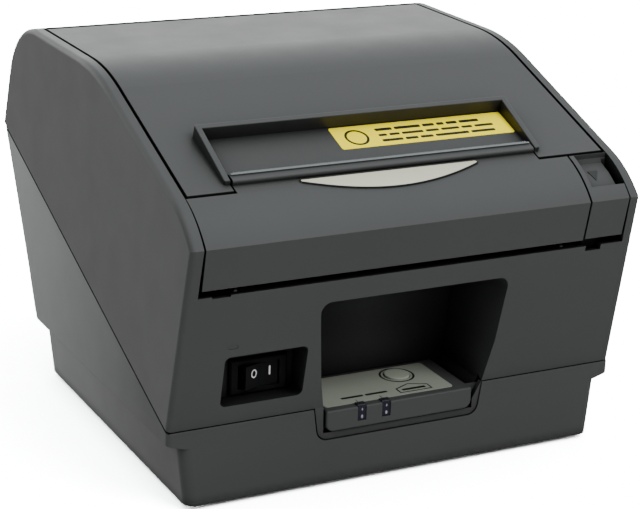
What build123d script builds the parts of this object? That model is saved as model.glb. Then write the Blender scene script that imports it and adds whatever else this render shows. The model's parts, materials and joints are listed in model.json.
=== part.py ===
from build123d import *
from math import acos, cos, pi, radians, sin, tan
import os

os.makedirs("parts", exist_ok=True)

# Frame: origin on the ground under the middle of the printer, +Z up, the
# front (paper slot and console side) faces -Y, +X is right seen from the front.

# Overall size
width = 227.0
height = 175.5
half_width = width / 2
crease = (-120.0, 125.0)  # (y, z) of the sharp front edge
rear_point = (120.0, 120.4)  # (y, z) of the rearmost edge
panel_foot = (-102.5, 38.6)  # (y, z) where the sloping front panel ends
side_draft = 0.03  # side walls lean in by this much per mm of height
corner_r = 2.4
wall = 3.0

# Sloping lid
slope_angle = 20.07
bend_y = -3.7  # y where the slope and the flat top would meet
bend_tangent = 18.0
seam_y = -97.0  # y of the seam between lid and front cover
slope_cos = cos(radians(slope_angle))
slope_sin = sin(radians(slope_angle))
seam_z = height - (bend_y - seam_y) * slope_sin / slope_cos
plate_width = 5.6  # width of the side plates beside the lid
cover_gap = 1.6
seam_wide = 1.8  # gap between the lid and the front cover
skin = 2.5  # wall of the lid and of the front cover
skirt = 14.0

# Lid hinge
hinge_y = 76.0
hinge_z = 171.5
hinge_r = 4.0
hinge_pin_r = 1.5

# Paper pocket in the lid, inside a raised rim that grows taller to the rear
pocket_left = -82.0
pocket_right = 69.3
pocket_back = 38.0
pocket_depth = 0.7
rim_wide = 2.8
rim_front = 4.4  # distance up the slope from the seam to the rim's front end
rim_high = 2.2  # height of the rim over the slope at its front end
rim_tilt = 6.3  # the rim's top is this many degrees steeper than the slope
slot_back = 12.2  # distance up the slope from the seam to the slot's rear edge
slot_front = 8.6
rail_high = 2.2

# Front cover and cover lever
front_left = -104.4
front_right = 83.5
lever_left = 84.5
lever_right = 104.6
cover_foot_z = 106.0
lip_z = 102.7
latch_y = -105.0
latch_z = 100.0
latch_r = 2.5

# Lower case and plinth
plinth_top = 30.0
plinth_foot = 2.5
seam_gap = 1.0

# Paper bay
bay_left = -63.0
bay_right = 52.0
bay_y = 14.0
bay_z = 92.0
bay_r = 52.0
bay_wall = 1.8
deck_z = 142.0

# Print mechanism
platen_r = 8.0
shaft_r = 3.0
nip_y = -63.0
nip_z = 115.0
nip_angle = 35.0  # the head presses from below at this angle to the level
platen_y = nip_y + platen_r * cos(radians(nip_angle))
platen_z = nip_z + platen_r * sin(radians(nip_angle))
plate_right_x = 75.0
plate_left_x = -86.0
plate_thick = 1.5
bearing_r = 6.0
bearing_long = 5.0
running = 0.05

spring_out = 42.0

# Gears
module = 0.8
backlash = 0.12
pressure = radians(20)
platen_teeth = 20
idler_teeth = 28
motor_teeth = 14
cutter_teeth = 12
gear_x = 79.0
gear_wide = 4.0
idler_bearing = -78.5
motor_bearing = -60.0
idler_reach = module * (platen_teeth + idler_teeth) / 2
motor_reach = module * (idler_teeth + motor_teeth) / 2
idler_y = platen_y + idler_reach * cos(radians(idler_bearing))
idler_z = platen_z + idler_reach * sin(radians(idler_bearing))
motor_y = idler_y + motor_reach * cos(radians(motor_bearing))
motor_z = idler_z + motor_reach * sin(radians(motor_bearing))

# Cutter, drawn on a plane square to the paper path
cut_y = -77.0
cut_z = 135.0
rack_x = 58.0
pinion_reach = -14.0

# Main board
board_y = 5.0
board_post_x = 128.0
board_post_y = 92.0

# Console and switch
console_half = 37.5
console_top = 36.5
console_foot = 26.3
console_front = -103.6
console_back = -66.0
button_x = 12.0
button_y = -78.0
button_r = 6.0
switch_x = -67.8
switch_z = 56.1
switch_face = -94.0


def slope_pt(along, depth):
    """Point (y, z) at a distance up the slope from the seam and below its surface."""
    y = seam_y + along * slope_cos + depth * slope_sin
    z = seam_z + along * slope_sin - depth * slope_cos
    return (y, z)


def half_at(z, inset):
    """Half width of the case at a height, less an inset."""
    return half_width - side_draft * (z - panel_foot[1]) - inset


def drafted(inset):
    """Trapezium seen from the front that follows the leaning side walls."""
    low = 20.0
    high = 190.0
    with BuildSketch(Plane.XZ) as face:
        Polygon(
            (-half_at(low, inset), low),
            (half_at(low, inset), low),
            (half_at(high, inset), high),
            (-half_at(high, inset), high),
            align=None,
        )
    return face.sketch


def involute(angle):
    return tan(angle) - angle


def gear_face(teeth, phase):
    """Spur gear outline with involute flanks, one tooth centred on the phase angle."""
    pitch_r = module * teeth / 2
    base_r = pitch_r * cos(pressure)
    tip_r = pitch_r + 0.8 * module
    root_r = pitch_r - 1.2 * module
    half_tooth = pi / (2 * teeth) - backlash / (2 * pitch_r)
    start_r = max(base_r, root_r)
    middle_r = (start_r + tip_r) / 2

    def flank(radius, side):
        turn = half_tooth + involute(pressure) - involute(acos(base_r / radius))
        return (radius * cos(turn), side * radius * sin(turn))

    core_x = root_r * 0.9
    core_y = flank(start_r, 1)[1]
    with BuildSketch() as tooth:
        with BuildLine():
            Polyline(flank(start_r, -1), (core_x, -core_y), (core_x, core_y), flank(start_r, 1))
            ThreePointArc(flank(start_r, 1), flank(middle_r, 1), flank(tip_r, 1))
            ThreePointArc(flank(tip_r, 1), (tip_r, 0), flank(tip_r, -1))
            ThreePointArc(flank(tip_r, -1), flank(middle_r, -1), flank(start_r, -1))
        make_face()
    with BuildSketch() as face:
        Circle(root_r)
        with PolarLocations(0, teeth, start_angle=phase):
            add(tooth.sketch)
    return face.sketch


slope_plane = Plane(
    origin=(0, seam_y, seam_z), x_dir=(1, 0, 0), z_dir=(0, -slope_sin, slope_cos)
)
rim_lean = radians(slope_angle + rim_tilt)
rim_origin = slope_pt(rim_front, -rim_high)
rim_plane = Plane(
    origin=(0, rim_origin[0], rim_origin[1]),
    x_dir=(1, 0, 0),
    z_dir=(0, -sin(rim_lean), cos(rim_lean)),
)
panel_lean = Vector(0, panel_foot[0] - crease[0], panel_foot[1] - crease[1]).normalized()
panel_plane = Plane(
    origin=(0, crease[0], crease[1]),
    x_dir=(1, 0, 0),
    z_dir=(0, panel_lean.Z, -panel_lean.Y),
)
head_plane = Plane(
    origin=(0, nip_y, nip_z),
    x_dir=(1, 0, 0),
    z_dir=(0, cos(radians(nip_angle)), sin(radians(nip_angle))),
)
cut_plane = Plane(
    origin=(0, cut_y, cut_z),
    x_dir=(1, 0, 0),
    z_dir=(0, -sin(radians(nip_angle)), cos(radians(nip_angle))),
)
under_run = Vector(0, rear_point[0] - 80.7, rear_point[1] - 56.3).normalized()
rear_plane = Plane(
    origin=(0, 100.35, 88.35), x_dir=(1, 0, 0), z_dir=(0, under_run.Z, -under_run.Y)
)

# Master shape of everything above the case seam
with BuildPart() as body:
    with BuildSketch(Plane.YZ):
        with BuildLine():
            Line(panel_foot, crease)
            ThreePointArc(crease, (-109.6, 134.9), (seam_y, seam_z))
            bend_low = (bend_y - bend_tangent * slope_cos, height - bend_tangent * slope_sin)
            Line((seam_y, seam_z), bend_low)
            bend = TangentArc(
                bend_low, (bend_y + bend_tangent, height), tangent=(slope_cos, slope_sin)
            )
            Line(bend @ 1, (hinge_y, height))
            rear_top = TangentArc((hinge_y, height), (98.6, 168.0), tangent=(1, 0))
            rear_bend = TangentArc(rear_top @ 1, (112.05, 148.5), tangent=rear_top % 1)
            Line(rear_bend @ 1, rear_point)
            Line(rear_point, panel_foot)
        make_face()
    extrude(amount=half_width, both=True)
    add(extrude(drafted(0), amount=200, both=True, mode=Mode.PRIVATE), mode=Mode.INTERSECT)
    left_side = faces().sort_by(Axis.X)[0]
    right_side = faces().sort_by(Axis.X)[-1]
    rounded = left_side.edges().sort_by(SortBy.LENGTH)[:-1]
    rounded += right_side.edges().sort_by(SortBy.LENGTH)[:-1]
    fillet(rounded, corner_r)


# Upper case: everything that stays when the covers are off
recess_face = Plane.XZ.offset(125)
with BuildSketch(recess_face) as recess_shape:
    with BuildLine():
        Polyline((-38.4, 26), (38.4, 26), (38.4, 30.5), (43.0, 38.6), (46.1, 59.7), (47.5, 92.3))
        Polyline((47.5, 92.3), (-47.5, 92.3), (-45.7, 79.0), (-42.0, 53.7), (-38.7, 38), (-38.4, 26))
    make_face()
    fillet(recess_shape.vertices().group_by(Axis.Y)[-1], 5.0)

with BuildPart() as upper_core:
    with BuildSketch(Plane.YZ):
        with BuildLine():
            Polyline((-130, lip_z), (-112.4, lip_z), (-99.4, 38.6), (-98.0, 25.0), (116.0, 100.0))
            Polyline((116.0, 100.0), (116.0, 121.4), (108.2, 149.2), (103.7, 158.2))
            Polyline((103.7, 158.2), (97.0, 165.4), (87.6, 170.6), (80.4, 172.2))
            Polyline((80.4, 172.2), (80.4, 190), (-130, 190))
            Line((-130, 190), (-130, lip_z))
        make_face()
    extrude(amount=half_width, both=True)
    add(
        extrude(drafted(plate_width), amount=200, both=True, mode=Mode.PRIVATE),
        mode=Mode.INTERSECT,
    )
    # housings of the console recess and the switch recess stay, and so does a ledge
    with BuildSketch(recess_face):
        add(recess_shape.sketch_local)
        offset(amount=skin)
    extrude(amount=-63.5, mode=Mode.SUBTRACT)
    with Locations((-70.3, -108.0, 59.7)):
        Box(45.0, 33.0, 29.5, mode=Mode.SUBTRACT)
    with Locations((-12.0, -104.0, 94.4)):
        Box(188, 24.0, 2.2, mode=Mode.SUBTRACT)
    # rails that carry the deck of the paper bay
    with Locations((106.5, 30, deck_z - 2.0), (-106.5, 30, deck_z - 2.0)):
        Box(9.0, 110.0, 4.0, mode=Mode.SUBTRACT)
    # screw bosses that hang from the side walls
    with Locations((97, -84, 62), (-97, -84, 62)):
        Cylinder(4.5, 16, mode=Mode.SUBTRACT)
        Box(30, 3, 16, align=(Align.CENTER, Align.CENTER, Align.CENTER), mode=Mode.SUBTRACT)
    with Locations((97, 44, 106), (-97, 44, 106)):
        Cylinder(4.5, 16, mode=Mode.SUBTRACT)
        Box(30, 3, 16, mode=Mode.SUBTRACT)

with BuildPart() as upper_case:
    add(body.part)
    add(upper_core.part, mode=Mode.SUBTRACT)
    # walls of the console recess reach down into the lower case
    with Locations((0, -79.75, 44.0)):
        Box(95.4, 36.5, 34.0)
    # tongue of the front panel that frames the console in the notch of the lower case
    with BuildSketch(Plane.XZ.offset(102.5)):
        Polygon(
            (-40.7, 22.9), (40.7, 22.9), (42.9, 38.0), (42.9, 41.0), (-42.9, 41.0), (-42.9, 38.0),
            align=None,
        )
        fillet(vertices().group_by(Axis.Y)[0], 5.4)
    extrude(amount=-2.5)
    # console recess, open to the front
    with BuildSketch(recess_face):
        add(recess_shape.sketch_local)
    extrude(amount=-61.0, mode=Mode.SUBTRACT)
    # power switch recess
    with BuildSketch(Plane.XZ.offset(125)):
        with Locations((-70.3, 59.65)):
            RectangleRounded(40.0, 25.3, 3.0)
    extrude(amount=-(125 + switch_face), taper=1, mode=Mode.SUBTRACT)
    with Locations((switch_x, switch_face, switch_z)):
        Box(22.4, 12.0, 13.2, mode=Mode.SUBTRACT)
    # notches in the lip under the front cover and the lever
    with Locations((-95.1, -114.0, lip_z)):
        Box(8.6, 8.0, 1.6, mode=Mode.SUBTRACT)
    with Locations((90.1, -114.0, lip_z)):
        Box(8.2, 8.0, 5.0, mode=Mode.SUBTRACT)
    # small tooling mark over the switch
    with BuildSketch(panel_plane):
        with Locations((-87.0, -49.0)):
            RectangleRounded(5.0, 2.2, 1.0)
    extrude(amount=-0.15, mode=Mode.SUBTRACT)
    # bores for the lid hinge and pilot holes for the case screws
    with BuildSketch(Plane.YZ):
        with Locations((hinge_y, hinge_z)):
            Circle(hinge_pin_r + running)
    extrude(amount=107.6, both=True, mode=Mode.SUBTRACT)
    with Locations((97, -84, 60), (-97, -84, 60), (97, 44, 104), (-97, 44, 104)):
        Cylinder(1.5, 12.0, mode=Mode.SUBTRACT)
upper_case.part.label = "upper_case"
export_step(upper_case.part, "parts/upper_case.step")

# Hollow of the wedge
with BuildPart() as case_core:
    with BuildSketch(Plane.YZ):
        Polygon(
            (-100.0, plinth_top + wall),
            (64.3, plinth_top + wall),
            (78.1, 57.8),
            (116.0, 119.6),
            (116.0, 150.0),
            (-100.0, 60.0),
            align=None,
        )
    extrude(amount=half_width - wall, both=True)
    add(
        extrude(drafted(wall), amount=200, both=True, mode=Mode.PRIVATE),
        mode=Mode.INTERSECT,
    )

# Lower case: wedge with a smaller plinth, carried on the feet
with BuildPart() as lower_case:
    with BuildSketch(Plane.YZ):
        Polygon(
            (-103.0, plinth_top),
            (80.7 - 14.7, plinth_top),
            (80.7, 56.3),
            rear_point,
            panel_foot,
            (-103.0, panel_foot[1] - seam_gap),
            align=None,
        )
    extrude(amount=half_width, both=True)
    with BuildSketch(Plane.YZ):
        with BuildLine():
            Polyline((-110, 60), (panel_foot[0], 38.6 - seam_gap), (120.5, 120.6 - seam_gap))
            Polyline((120.5, 120.6 - seam_gap), (125, 150), (-110, 60))
        make_face()
    extrude(amount=half_width, both=True, mode=Mode.SUBTRACT)
    under_edges = edges().filter_by(Axis.Y).group_by(Axis.Z)[0]
    chamfer(under_edges, 8.0, 2.4)
    front_edges = edges().filter_by(Axis.Z).group_by(Axis.Y)[0]
    fillet(front_edges, corner_r)
    add(extrude(drafted(0), amount=200, both=True, mode=Mode.PRIVATE), mode=Mode.INTERSECT)
    back_face = faces().filter_by(rear_plane)
    fillet([back_face.edges().sort_by(Axis.X)[0], back_face.edges().sort_by(Axis.X)[-1]], 3.0)
    # plinth
    with BuildSketch(Plane.XY.offset(plinth_foot)):
        with Locations((0, -17.5)):
            RectangleRounded(209.0, 173.0, 5.0)
    with BuildSketch(Plane.XY.offset(plinth_top)):
        with Locations((0, -16.5)):
            RectangleRounded(214.8, 173.0, 5.0)
    loft()
    # hollow the wedge
    add(case_core.part, mode=Mode.SUBTRACT)
    # hollow the plinth
    with BuildSketch(Plane.XY.offset(plinth_foot + skin)):
        with Locations((0, -17.5)):
            RectangleRounded(203.0, 167.0, 3.0)
    with BuildSketch(Plane.XY.offset(plinth_top + wall + 0.5)):
        with Locations((0, -18.5)):
            RectangleRounded(208.0, 163.0, 3.0)
    loft(mode=Mode.SUBTRACT)
    # notch for the console
    with BuildSketch(Plane.XZ.offset(110)):
        with BuildLine():
            Polyline((-43.7, 60), (-43.6, 38), (-41.5, 22.6), (40.9, 22.6), (43.1, 38), (43.2, 60))
            Line((43.2, 60), (-43.7, 60))
        make_face()
        fillet(vertices().group_by(Axis.Y)[0], 5.6)
    extrude(amount=-12.0, mode=Mode.SUBTRACT)
    # opening for the interface card in the sloping back
    with BuildSketch(rear_plane):
        with Locations((-20, 2)):
            RectangleRounded(120.0, 32.0, 2.0)
        with Locations((72, 2)):
            Circle(11.0)
    extrude(amount=12, both=True, mode=Mode.SUBTRACT)
    # recesses for the feet
    with Locations((-92, -92, plinth_foot), (92, -92, plinth_foot)):
        Cylinder(8.0, 1.4, mode=Mode.SUBTRACT)
    with Locations((-92, 57, plinth_foot), (92, 57, plinth_foot)):
        Cylinder(8.0, 1.4, mode=Mode.SUBTRACT)
    # air slots in the floor
    with Locations((0, -15, plinth_foot)):
        with GridLocations(9.0, 0, 9, 1):
            Box(3.0, 40.0, 8.0, mode=Mode.SUBTRACT)
    # columns for the case screws and posts for the circuit board
    with BuildSketch(Plane.XY.offset(plinth_foot + skin)):
        with Locations((97, -84), (-97, -84)):
            Circle(4.5)
    extrude(amount=39.0)
    with BuildSketch(Plane.XY.offset(plinth_foot + skin)):
        with Locations((97, 44), (-97, 44)):
            Circle(4.5)
    extrude(amount=82.0)
    with BuildSketch(Plane.XY.offset(plinth_foot + skin)):
        with Locations((0, board_y)):
            with GridLocations(board_post_x, board_post_y, 2, 2):
                Circle(3.5)
    extrude(amount=9.0)
    with Locations((97, -84, 20), (-97, -84, 20), (97, 44, 40), (-97, 44, 40)):
        Cylinder(1.6, 120, mode=Mode.SUBTRACT)
    with Locations((97, -84, 2.5), (-97, -84, 2.5), (97, 44, 2.5), (-97, 44, 2.5)):
        Cylinder(3.2, 8.0, mode=Mode.SUBTRACT)
    with Locations((0, board_y, 12)):
        with GridLocations(board_post_x, board_post_y, 2, 2):
            Cylinder(1.2, 9.0, mode=Mode.SUBTRACT)
lower_case.part.label = "lower_case"
export_step(lower_case.part, "parts/lower_case.step")

with BuildPart() as feet:
    with Locations((-92, -92, 0), (92, -92, 0), (-92, 57, 0), (92, 57, 0)):
        Cylinder(8.0, 3.2, align=(Align.CENTER, Align.CENTER, Align.MIN))
    foot_rims = faces().filter_by(Axis.Z).group_by(Axis.Z)[0].edges()
    chamfer(foot_rims, 0.8)
feet.part.label = "feet"
export_step(feet.part, "parts/feet.step")

with BuildPart() as case_screws:
    with BuildSketch(Plane.XY.offset(3.3)):
        with Locations((97, -84), (-97, -84), (97, 44), (-97, 44)):
            Circle(2.8)
    extrude(amount=3.2)
    with BuildSketch(Plane.XY.offset(6.5)):
        with Locations((97, -84), (-97, -84)):
            Circle(1.5)
    extrude(amount=58.0)
    with BuildSketch(Plane.XY.offset(6.5)):
        with Locations((97, 44), (-97, 44)):
            Circle(1.5)
    extrude(amount=102.0)
    with BuildSketch(Plane.XY.offset(3.3)):
        with Locations((97, -84), (-97, -84), (97, 44), (-97, 44)):
            Rectangle(3.6, 0.8)
            Rectangle(0.8, 3.6)
    extrude(amount=1.4, mode=Mode.SUBTRACT)
case_screws.part.label = "case_screws"
export_step(case_screws.part, "parts/case_screws.step")

# Lid: thin shell that follows the slope and the flat top, with the paper pocket
with BuildPart() as lid_zone:
    with BuildSketch(Plane.YZ):
        with BuildLine():
            Line(slope_pt(0, skirt), slope_pt(0, -8))
            Polyline(slope_pt(0, -8), (seam_y, 190), (hinge_y, 190), (hinge_y, height))
            knuckle = CenterArc((hinge_y, hinge_z), hinge_r, 90, -180)
            Polyline(knuckle @ 1, (66, 166.5), (66, height - skirt))
            Line((66, height - skirt), (-1.0, height - skirt))
            Line((-1.0, height - skirt), slope_pt(0, skirt))
        make_face()
    extrude(amount=half_width, both=True)
    inset = plate_width + cover_gap
    add(extrude(drafted(inset), amount=200, both=True, mode=Mode.PRIVATE), mode=Mode.INTERSECT)

with BuildPart() as lid_core:
    with BuildSketch(Plane.YZ):
        with BuildLine():
            inner_low = slope_pt(81.4, skin)
            Line(slope_pt(skin, 40), slope_pt(skin, skin))
            Line(slope_pt(skin, skin), inner_low)
            inner_bend = TangentArc(
                inner_low,
                (bend_y + bend_tangent, height - skin),
                tangent=(slope_cos, slope_sin),
            )
            Polyline(inner_bend @ 1, (66, height - skin), (66, 120), slope_pt(skin, 40))
        make_face()
    extrude(amount=half_width, both=True)
    core_inset = inset + skin
    add(
        extrude(drafted(core_inset), amount=200, both=True, mode=Mode.PRIVATE),
        mode=Mode.INTERSECT,
    )

with BuildPart() as top_cover:
    add(body.part)
    add(lid_zone.part, mode=Mode.INTERSECT)
    # hollow underneath
    add(lid_core.part, mode=Mode.SUBTRACT)
    # solid block that the pocket is cut from, with a raised rim
    pocket_mid = (pocket_left + pocket_right) / 2
    pocket_wide = pocket_right - pocket_left
    rim_left = pocket_left - rim_wide
    rim_right = pocket_right + rim_wide
    rim_back = pocket_back + rim_wide
    with BuildSketch(slope_plane.offset(-pocket_depth - 2.2)):
        with Locations((rim_left, rim_front)):
            Rectangle(rim_right - rim_left, rim_back - rim_front, align=Align.MIN)
    extrude(amount=pocket_depth + 2.2)
    with BuildSketch(slope_plane):
        with Locations((pocket_mid, (rim_front + rim_back) / 2)):
            RectangleRounded(rim_right - rim_left, rim_back - rim_front, 1.0)
    extrude(amount=12)
    with BuildSketch(rim_plane):
        with Locations((pocket_mid, 0)):
            Rectangle(rim_right - rim_left + 4, 2 * rim_back)
    extrude(amount=20, mode=Mode.SUBTRACT)
    with BuildSketch(slope_plane.offset(-pocket_depth)):
        with Locations((pocket_mid, pocket_back / 2 - 5)):
            Rectangle(pocket_wide, pocket_back + 10)
    extrude(amount=20, mode=Mode.SUBTRACT)
    with BuildSketch(slope_plane.offset(-40)):
        with Locations((pocket_mid, slot_back / 2 - 5)):
            Rectangle(pocket_wide, slot_back + 10)
    extrude(amount=60, mode=Mode.SUBTRACT)
    fillet(faces().filter_by(rim_plane).edges(), 0.5)
    # bores that hold the hinge pins
    with BuildSketch(Plane.YZ):
        with Locations((hinge_y, hinge_z)):
            Circle(hinge_pin_r)
    extrude(amount=half_width, both=True, mode=Mode.SUBTRACT)
    with BuildSketch(Plane.YZ):
        with Locations((hinge_y, hinge_z)):
            Circle(hinge_pin_r)
    extrude(amount=92.0, both=True)
    # stiffening ribs under the flat top
    with Locations((-70, 30, height - 5.5), (0, 30, height - 5.5), (70, 30, height - 5.5)):
        Box(2.0, 71.0, 7.0)
top_cover.part.label = "top_cover"
export_step(top_cover.part, "parts/top_cover.step")

with BuildPart() as hinge_pins:
    with BuildSketch(Plane.YZ.offset(92.0)):
        with Locations((hinge_y, hinge_z)):
            Circle(hinge_pin_r)
    extrude(amount=15.0)
    mirror(about=Plane.YZ)
hinge_pins.part.label = "hinge_pins"
export_step(hinge_pins.part, "parts/hinge_pins.step")

# Front cover over the cutter, with a tongue that reaches back to the tear bar
with BuildPart() as front_zone:
    with BuildSketch(Plane.YZ):
        Polygon(
            slope_pt(-seam_wide, -10),
            slope_pt(-seam_wide, 12),
            (-101.0, cover_foot_z + 8),
            (-109.0, cover_foot_z),
            (-130, cover_foot_z),
            (-130, 170),
            align=None,
        )
    extrude(amount=half_width, both=True)
    with Locations(((front_left + front_right) / 2, -110, 130)):
        Box(front_right - front_left, 60, 120, mode=Mode.INTERSECT)

with BuildPart() as front_core:
    with BuildSketch(Plane.YZ):
        with BuildLine():
            inner_top = slope_pt(-seam_wide, skin + 0.2)
            ThreePointArc(inner_top, (-107.6, 132.4), (-116.9, 124.4))
            Polyline((-116.9, 124.4), (-113.2, cover_foot_z), (-113.2, 90), (-80, 90))
            Polyline((-80, 90), slope_pt(5, 12), inner_top)
        make_face()
    extrude(amount=half_width, both=True)
    with Locations(((front_left + front_right) / 2, -110, 120)):
        Box(front_right - front_left - 2 * skin, 60, 120, mode=Mode.INTERSECT)
    # posts that carry the cutter stay
    with BuildSketch(cut_plane.offset(-0.2)):
        with Locations((-73, -26), (63, -26)):
            Circle(3.0)
    extrude(amount=40, mode=Mode.SUBTRACT)

with BuildSketch(slope_plane) as badge_shape:
    with BuildLine():
        Line((-54, 2.4), (41, 2.4))
        ThreePointArc((41, 2.4), (-6.5, -8.6), (-54, 2.4))
    make_face()
    fillet(vertices(), 1.0)
badge_column = extrude(badge_shape.sketch, amount=30, both=True)
badge_floor = body.part.moved(Location(slope_plane.z_dir * -0.6))
badge_top = body.part.moved(Location(slope_plane.z_dir * 0.4))
badge_solid = (badge_column & badge_top) - badge_floor

with BuildPart() as front_cover:
    add(body.part)
    add(front_zone.part, mode=Mode.INTERSECT)
    add(front_core.part, mode=Mode.SUBTRACT)
    # tongue
    tongue_left = pocket_left + 0.9
    tongue_right = pocket_right - 0.9
    tongue_mid = (tongue_left + tongue_right) / 2
    with BuildSketch(slope_plane):
        with Locations((tongue_mid, (slot_front - seam_wide) / 2)):
            Rectangle(tongue_right - tongue_left, slot_front + seam_wide)
    extrude(amount=-skin - 0.2)
    # rail under the tear bar and the wall along the paper path
    with BuildSketch(slope_plane.offset(-skin)):
        with Locations((tongue_mid, slot_front - 2.5)):
            Rectangle(tongue_right - tongue_left, 5.0)
    extrude(amount=skin + rail_high)
    fillet(edges().filter_by(Axis.X).filter_by_position(Axis.Z, 144, 160).sort_by(Axis.Y)[0], 1.2)
    with BuildSketch(slope_plane.offset(-skin)):
        with Locations((tongue_mid, slot_front - 1.0)):
            Rectangle(tongue_right - tongue_left, 2.0)
    extrude(amount=-4.0)
    # return edge along the bottom
    with Locations(((front_left + front_right) / 2, -110.5, cover_foot_z + 1.0)):
        Box(front_right - front_left, 6.0, 2.0)
    # seat of the badge
    add(badge_column - badge_floor, mode=Mode.SUBTRACT)
    # screw holes in the posts
    with BuildSketch(cut_plane.offset(-0.2)):
        with Locations((-73, -26), (63, -26)):
            Circle(1.0)
    extrude(amount=9, mode=Mode.SUBTRACT)
front_cover.part.label = "front_cover"
export_step(front_cover.part, "parts/front_cover.step")

with BuildPart() as badge:
    add(badge_solid)
badge.part.label = "badge"
export_step(badge.part, "parts/badge.step")

with BuildPart() as tear_bar:
    with BuildSketch(slope_plane.offset(rail_high)):
        with Locations((tongue_mid, slot_front - 0.5)):
            Rectangle(tongue_right - tongue_left - 1.0, 1.0)
        with Locations((tongue_mid, slot_front)):
            with GridLocations(1.25, 0, 117, 1):
                Triangle(a=1.25, b=1.0, c=1.0, align=(Align.CENTER, Align.MIN))
    extrude(amount=0.6)
tear_bar.part.label = "tear_bar"
export_step(tear_bar.part, "parts/tear_bar.step")

# Lever that opens the lid, with its cross shaft and hooks
with BuildPart() as cover_lever:
    add(body.part)
    with BuildSketch(Plane.YZ):
        Polygon(
            slope_pt(-seam_wide, -10),
            slope_pt(-seam_wide, 14),
            (-100.0, cover_foot_z + 0.5),
            (-130, cover_foot_z + 0.5),
            (-130, 170),
            align=None,
        )
    extrude(amount=half_width, both=True, mode=Mode.INTERSECT)
    lever_mid = (lever_left + lever_right) / 2
    lever_wide = lever_right - lever_left
    with Locations((lever_mid, -110, 120)):
        Box(lever_wide, 60, 120, mode=Mode.INTERSECT)
    # finger recess, open to the right, with a deep side pocket and a front ridge
    with BuildSketch(Plane.YZ.offset(lever_left + 2.4)):
        with BuildLine():
            Polyline((-115.0, 145), (-115.0, 130.2), (-112.3, 129.4), (-106.0, 133.6))
            Polyline((-106.0, 133.6), (-99.9, 136.4), (-98.8, 138.6), (-98.8, 145), (-115.0, 145))
        make_face()
    extrude(amount=lever_wide, mode=Mode.SUBTRACT)
    with Locations((lever_right, -106.6, 133.0)):
        Box(5.4, 15.0, 16.0, mode=Mode.SUBTRACT)
    # arm down to the cross shaft
    with BuildSketch(Plane.YZ.offset(lever_mid)):
        with Locations((latch_y, latch_z)):
            Circle(5.0)
        Polygon((-110, 101), (-100.2, 101), (-100.2, 110), (-110, 110), align=None)
    extrude(amount=lever_wide / 2 - 2.2, both=True)
    with BuildSketch(Plane.YZ):
        with Locations((latch_y, latch_z)):
            Circle(latch_r)
    extrude(amount=half_width, both=True, mode=Mode.SUBTRACT)
cover_lever.part.label = "cover_lever"
export_step(cover_lever.part, "parts/cover_lever.step")

with BuildPart() as latch_shaft:
    with BuildSketch(Plane.YZ.offset(-92.0)):
        with Locations((latch_y, latch_z)):
            Circle(latch_r)
    extrude(amount=92.0 + 104.0)
latch_shaft.part.label = "latch_shaft"
export_step(latch_shaft.part, "parts/latch_shaft.step")

with BuildPart() as latch_hooks:
    with BuildSketch(Plane.YZ.offset(70.0)) as hook_shape:
        with Locations((latch_y, latch_z)):
            Circle(4.2)
        Polygon(
            (-107, 103.5), (-80, 126.5), (-66, 131), (-66, 124.5), (-77, 121), (-103, 96.5),
            align=None,
        )
        fillet(vertices().sort_by(Axis.X)[-2:], 1.5)
        with Locations((latch_y, latch_z)):
            Circle(latch_r, mode=Mode.SUBTRACT)
    extrude(amount=3.0)
    with BuildSketch(Plane.YZ.offset(-84.0)):
        add(hook_shape.sketch_local)
    extrude(amount=3.0)
latch_hooks.part.label = "latch_hooks"
export_step(latch_hooks.part, "parts/latch_hooks.step")

# Platen roller and its bracket, carried by the lid
shaft_left = -91.0
shaft_right = 84.5
with BuildPart() as platen_shaft:
    with BuildSketch(Plane.YZ.offset(shaft_left)):
        with Locations((platen_y, platen_z)):
            Circle(shaft_r)
    extrude(amount=shaft_right - shaft_left)
    chamfer(edges().filter_by(GeomType.CIRCLE), 0.4)
platen_shaft.part.label = "platen_shaft"
export_step(platen_shaft.part, "parts/platen_shaft.step")

with BuildPart() as platen_roller:
    with BuildSketch(Plane.YZ.offset(bay_left)):
        with Locations((platen_y, platen_z)):
            Circle(platen_r)
            Circle(shaft_r, mode=Mode.SUBTRACT)
    extrude(amount=bay_right - bay_left)
platen_roller.part.label = "platen_roller"
export_step(platen_roller.part, "parts/platen_roller.step")

idler_phase = idler_bearing + 180
idler_pitch = 360 / idler_teeth
idler_offset = (motor_bearing - idler_phase) % idler_pitch
motor_phase = motor_bearing + 180 + idler_offset * idler_teeth / motor_teeth + 180 / motor_teeth

with BuildPart() as platen_gear:
    with BuildSketch(Plane.YZ.offset(gear_x)):
        with Locations((platen_y, platen_z)):
            add(gear_face(platen_teeth, idler_bearing + 180 / platen_teeth))
            Circle(shaft_r, mode=Mode.SUBTRACT)
    extrude(amount=gear_wide)
platen_gear.part.label = "platen_gear"
export_step(platen_gear.part, "parts/platen_gear.step")

with BuildPart() as platen_bearings:
    for bearing_x in (plate_right_x, plate_left_x - plate_thick):
        with BuildSketch(Plane.YZ.offset(bearing_x - (bearing_long - plate_thick) / 2)):
            with Locations((platen_y, platen_z)):
                Circle(bearing_r)
                Circle(shaft_r + running, mode=Mode.SUBTRACT)
        extrude(amount=bearing_long)
platen_bearings.part.label = "platen_bearings"
export_step(platen_bearings.part, "parts/platen_bearings.step")

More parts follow.
